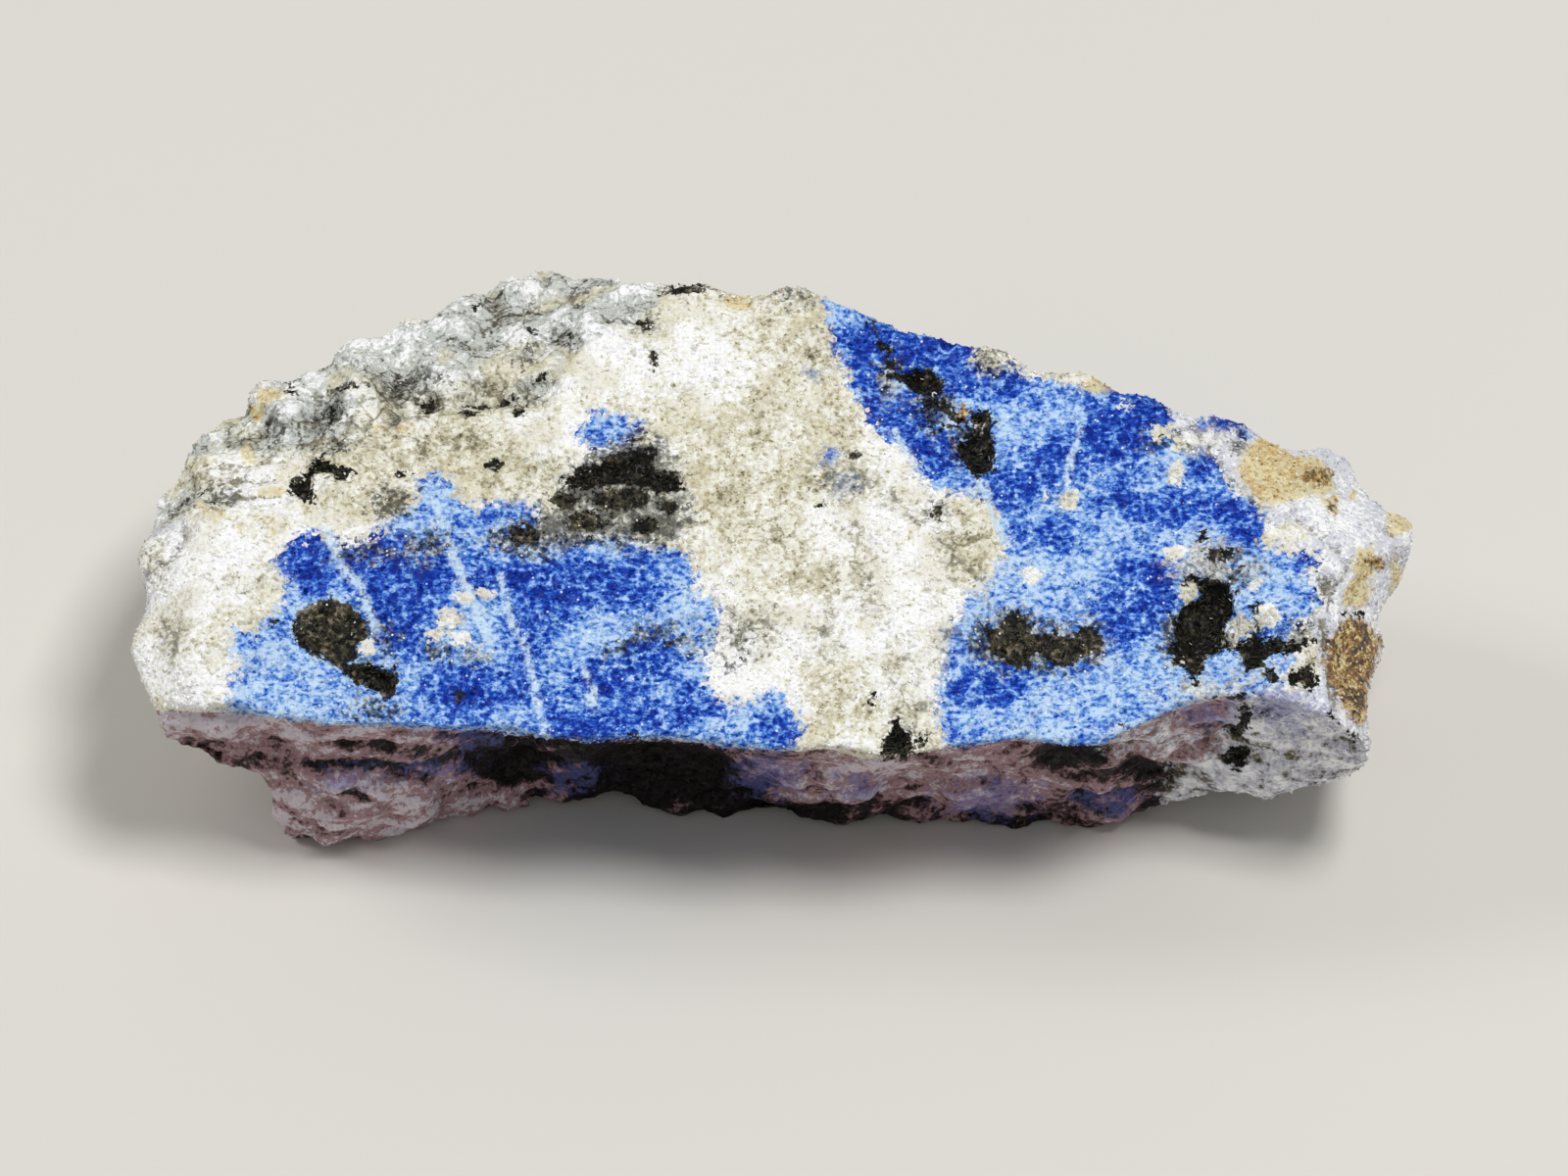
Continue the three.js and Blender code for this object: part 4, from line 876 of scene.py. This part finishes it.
def rock_material(colours):
    """Vishnevite rock, broken and not polished: glassy blue and cream grains of sugar size grown
    through each other, dull as a whole, with small facets that glint and soft dark minerals. Its
    colour also holds painted glints, painted shade in hollows, creases and on the front, and painted
    light on the lower right end."""
    material, tree, output = new_material("broken vishnevite rock")
    coordinates = add(tree, "ShaderNodeTexCoord", out="Object")
    place = add(tree, "ShaderNodeVectorMath", {0: coordinates, "Scale": 1 / MM}, operation="SCALE")

    def split_noise(size, detail, roughness):
        """Three noises of that size in millimetres, each about 0.5."""
        colour = add(tree, "ShaderNodeTexNoise", {"Vector": place, "Scale": 1 / size,
                                                  "Detail": detail, "Roughness": roughness},
                     out="Color")
        return colour, add(tree, "ShaderNodeSeparateColor", {"Color": colour}).node.outputs

    clouds = split_noise(4.5, 2.0, 0.5)[1]
    patch_colour, patches = split_noise(1.5, 3.0, 0.6)
    specks = split_noise(0.42, 2.0, 0.65)[1]
    cells = add(tree, "ShaderNodeTexVoronoi", {"Vector": place, "Scale": 1 / 0.42}, out="Color")
    grain = add(tree, "ShaderNodeSeparateColor", {"Color": cells}).node.outputs
    bent = add(tree, "ShaderNodeVectorMath", {0: patch_colour, 1: (1.8, 1.8, 1.8), 2: place},
               operation="MULTIPLY_ADD")
    webs = add(tree, "ShaderNodeTexVoronoi", {"Vector": bent, "Scale": 1 / 2.1},
               feature="DISTANCE_TO_EDGE", out="Distance")
    web = add(tree, "ShaderNodeMapRange", {"Value": webs, "From Min": 0.09, "From Max": 0.0})
    drawn_out = add(tree, "ShaderNodeVectorMath", {0: place, 1: (0.52, 1.0, 1.0)},
                    operation="MULTIPLY")
    dashes = add(tree, "ShaderNodeTexNoise", {"Vector": drawn_out, "Scale": 1 / 0.36,
                                              "Detail": 2.0, "Roughness": 0.6}, out="Fac")
    stretched = add(tree, "ShaderNodeVectorMath", {0: place, 1: (0.5, 0.9, 1.1)},
                    operation="MULTIPLY")
    streaks = add(tree, "ShaderNodeTexNoise", {"Vector": stretched, "Scale": 0.7, "Detail": 4.0,
                                               "Roughness": 0.6}, out="Fac")
    shade = add(tree, "ShaderNodeAttribute", attribute_name="shade", out="Fac")
    lift = add(tree, "ShaderNodeAttribute", attribute_name="lift", out="Fac")

    # Each mineral's tone wanders from dark to light, more in some zones than in others. The sums
    # are centred on 0.5: a noise or grain adds half of its factor on average.
    wide = [(patches[2], 1.0), (specks[2], 0.5)]
    # Every tone also follows the grain's random tone and the relief's lift, which paints light on raised places and
    # shade in hollows.
    common = [(shade, 0.14), (lift, 0.1)]
    # Painted glints: a tenth of the grains get a white dot in their middle, painted into the colour.
    lucky = add(tree, "ShaderNodeMapRange", {"Value": grain[2], "From Min": 0.9,
                                             "From Max": 0.91})
    near = add(tree, "ShaderNodeMapRange", {"Value": cells.node.outputs["Distance"],
                                            "From Min": 0.28, "From Max": 0.16})
    glint = add(tree, "ShaderNodeMath", {0: lucky, 1: near}, operation="MULTIPLY")
    blue_tone = summed(tree, -0.525, [
        (clouds[0], 0.2), (patches[0], 0.45), (dashes, 0.7), (specks[0], 0.65), (grain[0], 0.1),
        (web, 0.14), (zone_amount(tree, "pale", -1.4, 1.0, wide), 0.08),
        (zone_amount(tree, "deep", -0.9, 0.6, wide), -0.18), *common])
    dots = add(tree, "ShaderNodeMapRange", {"Value": specks[0], "From Min": 0.6, "From Max": 0.72})
    rock_tone = summed(tree, -0.15, [
        (clouds[1], 0.3), (patches[1], 0.45), (specks[1], 0.6), (grain[1], 0.14), (dots, -0.25),
        # The bright places: whiter cream, and painted light at the left end.
        (zone_amount(tree, "bright", -1.5, 1.2, wide), 0.16),
        (zone_amount(tree, "beige", -1.8, 1.2, wide), -0.08), *common])
    # Its start is set higher, partly as painted light on the slope, which faces away from the key light.
    slope_tone = summed(tree, -0.05, [
        (clouds[1], 0.4), (patches[1], 0.6), (specks[1], 0.35), (grain[1], 0.1), (web, -0.2),
        (dots, -0.2), (lift, 0.12), *common])
    dark_tone = summed(tree, -0.37, [
        (patches[0], 0.8), (specks[0], 0.7), (grain[0], 0.2), *common])
    mixed_tone = summed(tree, -0.74, [
        (patches[0], 1.1), (specks[0], 1.0), (grain[0], 0.3), *common])
    end_tone = summed(tree, -0.73, [
        (streaks, 1.1), (patches[0], 0.8), (specks[1], 0.6), (grain[1], 0.1), *common])
    # The front's tone: painted shade darkens it in wide spots and more in its hollows, and painted highlights
    # lighten it in lighter spots.
    front_tone = summed(tree, -0.7, [
        (streaks, 0.9), (specks[1], 0.6), (grain[1], 0.14), (patches[0], 0.8),
        (zone_amount(tree, "gloom", -2.0, 2.0), -0.16),
        (zone_amount(tree, "recess", 0.0, 1.1, wide), -0.35),
        (zone_amount(tree, "sheen", -1.0, 0.8, wide), 0.15), (lift, 0.1), *common])

    blue = graded(tree, blue_tone, [colours.navy, colours.blue, colours.sky_blue,
                                    colours.light_blue, colours.pale_blue])
    cream = graded(tree, rock_tone, [colours.olive, colours.sand, colours.beige, colours.cream,
                                     colours.white])
    cream = painted(tree, cream, [(clouds[2], 0.5, 0.62, 0.4, colours.buff)])
    weathered = graded(tree, slope_tone, [colours.moss, colours.grey, colours.ash,
                                          colours.ash, colours.white])
    weathered = painted(tree, weathered, [(clouds[2], 0.52, 0.66, 0.55, colours.straw)])
    facet = graded(tree, rock_tone, [colours.grey, colours.ash, colours.frost, colours.frost,
                                     colours.white])
    darker_patches = graded(tree, slope_tone, [colours.charcoal, colours.moss, colours.olive,
                                       colours.sand, colours.cream])
    grey = graded(tree, mixed_tone, [colours.black, colours.charcoal, colours.slate, colours.grey,
                                     colours.ash])
    brown = graded(tree, mixed_tone, [colours.black, colours.black, colours.brown, colours.brown,
                                      colours.tan])
    black = graded(tree, dark_tone, [colours.black, colours.black, colours.black, colours.brown,
                                     colours.tan])
    ochre = graded(tree, rock_tone, [colours.rust, colours.ochre, colours.ochre, colours.straw,
                                     colours.straw])
    rusty = graded(tree, mixed_tone, [colours.brown, colours.rust, colours.bronze, colours.ochre,
                                      colours.straw])
    # The front's tones, from dark hollows to pale streaks, are painted shade with a painted reddish reflection.
    front = graded(tree, front_tone, [colours.umber, colours.plum, colours.mauve, colours.mauve,
                                      colours.pale_front_streaks])
    # The lower right end's colours are painted light on a face that lies in shade.
    painted_light_end = graded(tree, end_tone, [colours.brown, colours.olive, colours.lilac,
                                       colours.frost, colours.white])

    # Where each mineral shows, and where shade and light are painted, from the first laid to the last.
    # Noise makes its edge ragged: (name, how far the patches, the specks and single grains carry the
    # edge in mm, half width of the edge in mm, strength, colour).
    zones = [
        ("weathered", 2.0, 1.5, 0.5, 0.6, 1.0, weathered),
        ("facet", 0.6, 0.5, 0.2, 0.2, 1.0, facet),
        ("blue", 1.3, 1.5, 1.0, 0.4, 1.0, blue),
        ("vein", 0.4, 1.1, 0.2, 0.3, 0.9, colours.vein),
        ("darker_patches", 2.6, 2.6, 1.2, 1.0, 0.75, darker_patches),
        ("grey", 2.6, 3.0, 1.4, 0.8, 0.85, grey),
        ("brown", 0.7, 0.9, 0.3, 0.14, 1.0, brown),
        ("ochre", 0.8, 1.0, 0.4, 0.35, 0.95, ochre),
        ("rusty", 0.7, 0.9, 0.4, 0.35, 0.95, rusty),
        # The creases' olive lines are painted shade.
        ("crease", 0.8, 0.9, 0.1, 0.14, 0.7, colours.olive),
    ]
    shaded_zones = [
        # The front: painted shade and a painted reddish reflection.
        ("under", 0.1, 0.2, 0.05, 0.08, 1.0, front),
        # The lower right end: painted light.
        ("endface", 4.0, 3.0, 1.0, 0.8, 1.0, painted_light_end),
        ("tint", 4.5, 2.8, 0.8, 0.9, 0.5, colours.violet),
        ("dark", 1.0, 1.5, 0.3, 0.08, 1.0, black),
        ("lump", 0.9, 1.0, 0.4, 0.15, 0.95, cream),
    ]

    def zone_layers(zones):
        layers = []
        for name, by_patch, by_speck, by_grain, soft, strength, over in zones:
            middle = -0.5 * (by_patch + by_speck + by_grain)
            wander = [(patches[2], by_patch), (specks[2], by_speck), (grain[2], by_grain)]
            amount = zone_amount(tree, name, -soft - middle, soft - middle, wander)
            layers.append((amount, 0.0, 1.0, strength, over))
        return layers

    # The glint layer is a painted highlight.
    colour = painted(tree, cream, [*zone_layers(zones), (glint, 0.0, 1.0, 0.85, colours.white),
                                   *zone_layers(shaded_zones)])

    # Fine relief: rounded grains of sugar size with a facet of its own on each
    rounded = add(tree, "ShaderNodeMath",
                  {0: cells.node.outputs["Distance"], 1: -0.7, 2: specks[0]},
                  operation="MULTIPLY_ADD")
    bump = add(tree, "ShaderNodeBump", {"Height": rounded, "Distance": 0.2 * MM, "Strength": 0.9})
    tilt = add(tree, "ShaderNodeVectorMath", {0: cells, 1: (0.5, 0.5, 0.5)},
               operation="SUBTRACT")
    tilted = add(tree, "ShaderNodeVectorMath", {0: tilt, 1: (0.6, 0.6, 0.6), 2: bump},
                 operation="MULTIPLY_ADD")
    normal = add(tree, "ShaderNodeVectorMath", {0: tilted}, operation="NORMALIZE")
    roughness = add(tree, "ShaderNodeMapRange", {"Value": grain[1], "To Min": 0.22, "To Max": 0.8})
    shader = add(tree, "ShaderNodeBsdfPrincipled",
                 {"Base Color": colour, "Roughness": roughness, "Normal": normal, "IOR": 1.5,
                  "Specular IOR Level": 0.2})
    tree.links.new(shader, output.inputs["Surface"])
    return material


def grain_material(name, dark, pale, roughness):
    """Small crystals with clean faces, each with a shade of its own from dark to pale."""
    material, tree, output = new_material(name)
    shade = add(tree, "ShaderNodeAttribute", attribute_name="shade", out="Fac")
    colour = painted(tree, dark, [(shade, -0.5, 0.5, 1.0, pale)])
    shader = add(tree, "ShaderNodeBsdfPrincipled",
                 {"Base Color": colour, "Roughness": roughness, "IOR": 1.53})
    tree.links.new(shader, output.inputs["Surface"])
    return material


def floor_material(colour):
    """Matt painted board: an even pale surface with no pattern."""
    material, tree, output = new_material("matt painted board")
    shader = add(tree, "ShaderNodeBsdfPrincipled", {"Base Color": colour, "Roughness": 0.85})
    tree.links.new(shader, output.inputs["Surface"])
    return material


# Pieces


class VISHNEVITE_OT_rock(Operator):
    """Makes the broken rock around its solid"""
    bl_idname = "vishnevite.rock"
    bl_label = "Broken rock"

    def execute(self, context):
        settings = context.scene.vishnevite
        sizes = settings.sizes
        solid = bmesh.new()
        solid.from_mesh(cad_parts["stone"].data)
        bmesh.ops.remove_doubles(solid, verts=solid.verts, dist=1e-6)
        mesh = bpy.data.meshes.new("broken_rock")
        solid.to_mesh(mesh)
        solid.free()
        rock = new_object("broken_rock", mesh)
        remesh = rock.modifiers.new("Even cells", "REMESH")
        remesh.mode = "VOXEL"
        remesh.voxel_size = sizes.cell
        smooth = rock.modifiers.new("Soften", "SMOOTH")
        smooth.factor = 0.5
        smooth.iterations = 2
        rock.data = settled_mesh(rock, "broken_rock")
        rock.modifiers.clear()
        store_minerals(rock.data)
        values = {
            "Chip": sizes.chip, "Chip relief": sizes.chip_relief, "Grain": sizes.grain,
            "Grain relief": sizes.grain_relief, "Chunk": sizes.chunk,
            "Chunk relief": sizes.chunk_relief, "Knob": sizes.knob,
            "Knob relief": sizes.knob_relief, "Step": sizes.step,
            "Step relief": sizes.step_relief, "Layer relief": sizes.layer_relief,
            "Pit": sizes.pit, "Crack": sizes.crack,
            "Material": rock_material(settings.colours),
        }
        apply_tree(rock, relief_tree(), values)
        keep_inside(rock.data)
        rock.data.shade_smooth()
        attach(rock, "root")
        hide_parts("stone")
        return {"FINISHED"}


class VISHNEVITE_OT_grains(Operator):
    """Scatters the crystal grains that stand out of the rock"""
    bl_idname = "vishnevite.grains"
    bl_label = "Crystal grains"

    def execute(self, context):
        settings = context.scene.vishnevite
        sizes, colours = settings.grains, settings.colours
        square_centimetre = 1e4
        kinds = [
            ("sugary_grains", "crystal", 1.0, sizes.sugar, sizes.sugar_count,
             [("under", 0.6, -0.2, 1.0)], bpy.data.materials["broken vishnevite rock"]),
            ("mica_flakes", "flake", 0.35, sizes.flake, sizes.flake_count,
             [("dark", 0.0, 0.3, 1.0), ("brown", 0.0, 0.4, 0.5), ("grey", 0.0, 1.0, 0.18)],
             grain_material("black mica flakes", colours.black, colours.brown, 0.25)),
            ("ochre_crumbs", "crystal", 1.0, sizes.crumb, sizes.crumb_count,
             [("ochre", 0.0, 0.6, 1.0), ("rusty", 0.0, 0.6, 1.0)],
             grain_material("ochre crumbs", colours.bronze, colours.straw, 0.6)),
        ]
        rock = bpy.data.objects["broken_rock"]
        for name, shape, flatness, radius, count, minerals, material in kinds:
            grains = new_object(name, rock.data.copy())
            values = {"Radius": radius, "Count": count * square_centimetre, "Seed": sizes.seed,
                      "Material": material}
            apply_tree(grains, grain_tree(name, shape, flatness, minerals), values)
            keep_inside(grains.data)
            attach(grains, "root")
        return {"FINISHED"}


def add_light(name, position, target, size, power):
    """A soft square light at a position in metres, facing the target."""
    light = bpy.data.lights.new(name, "AREA")
    light.size = size
    light.energy = power
    lamp = new_object(name, light)
    lamp.location = position
    lamp.rotation_euler = (target - lamp.location).to_track_quat("-Z", "Y").to_euler()


class VISHNEVITE_OT_stage(Operator):
    """Makes the floor, the lights and the camera"""
    bl_idname = "vishnevite.stage"
    bl_label = "Stage"

    def execute(self, context):
        sizes = context.scene.vishnevite.stage
        half = sizes.floor / 2
        mesh = bpy.data.meshes.new("floor")
        mesh.from_pydata([(-half, -half, 0), (half, -half, 0), (half, half, 0), (-half, half, 0)],
                         [], [(0, 1, 2, 3)])
        mesh.materials.append(floor_material(sizes.floor_colour))
        new_object("floor", mesh)

        across, rise = PICTURE_MIDDLE
        y = (rise - MIDDLE_HEIGHT * math.cos(VIEW_ANGLE)) / math.sin(VIEW_ANGLE) + DEPTH_SHIFT
        target = Vector((across + ACROSS_SHIFT, y, MIDDLE_HEIGHT)) * MM
        add_light("key", target + Vector((0.28, -0.12, 0.95)).normalized() * sizes.key_distance,
                  target, sizes.key_size, sizes.key_power)
        add_light("fill", target + Vector((-0.8, 0.2, 0.6)).normalized() * sizes.key_distance,
                  target, sizes.key_size, sizes.fill_power)
        world = bpy.data.worlds.new("even light")
        world.use_nodes = True
        world.node_tree.nodes["Background"].inputs["Color"].default_value = (1, 1, 1, 1)
        world.node_tree.nodes["Background"].inputs["Strength"].default_value = sizes.sky
        context.scene.world = world
        context.scene.view_settings.view_transform = "Standard"

        lens = bpy.data.cameras.new("camera")
        lens.lens = sizes.lens
        lens.clip_end = 20
        distance = PICTURE_WIDTH * MM * sizes.lens / lens.sensor_width
        camera = new_object("camera", lens)
        toward = Vector((0, -math.cos(VIEW_ANGLE), math.sin(VIEW_ANGLE)))
        camera.location = target + toward * distance
        camera.rotation_euler = (math.pi / 2 - VIEW_ANGLE, 0, 0)
        context.scene.camera = camera
        return {"FINISHED"}


class VISHNEVITE_PT_panel(Panel):
    """Lists the stone's pieces and the stage"""
    bl_idname = "VISHNEVITE_PT_panel"
    bl_label = "Rough vishnevite"
    bl_space_type = "VIEW_3D"
    bl_region_type = "UI"
    bl_category = "Vishnevite"

    def draw(self, context):
        for operator in (VISHNEVITE_OT_rock, VISHNEVITE_OT_grains, VISHNEVITE_OT_stage):
            self.layout.operator(operator.bl_idname)


CLASSES = (StoneSizes, StoneColours, GrainSizes, StageSizes, StoneSettings, VISHNEVITE_OT_rock,
           VISHNEVITE_OT_grains, VISHNEVITE_OT_stage, VISHNEVITE_PT_panel)


def register():
    for part in CLASSES:
        bpy.utils.register_class(part)
    bpy.types.Scene.vishnevite = PointerProperty(type=StoneSettings)


def unregister():
    del bpy.types.Scene.vishnevite
    for part in reversed(CLASSES):
        bpy.utils.unregister_class(part)


def main():
    register()
    bpy.ops.vishnevite.rock()
    bpy.ops.vishnevite.grains()
    bpy.ops.vishnevite.stage()


if __name__ == "__main__":
    main()
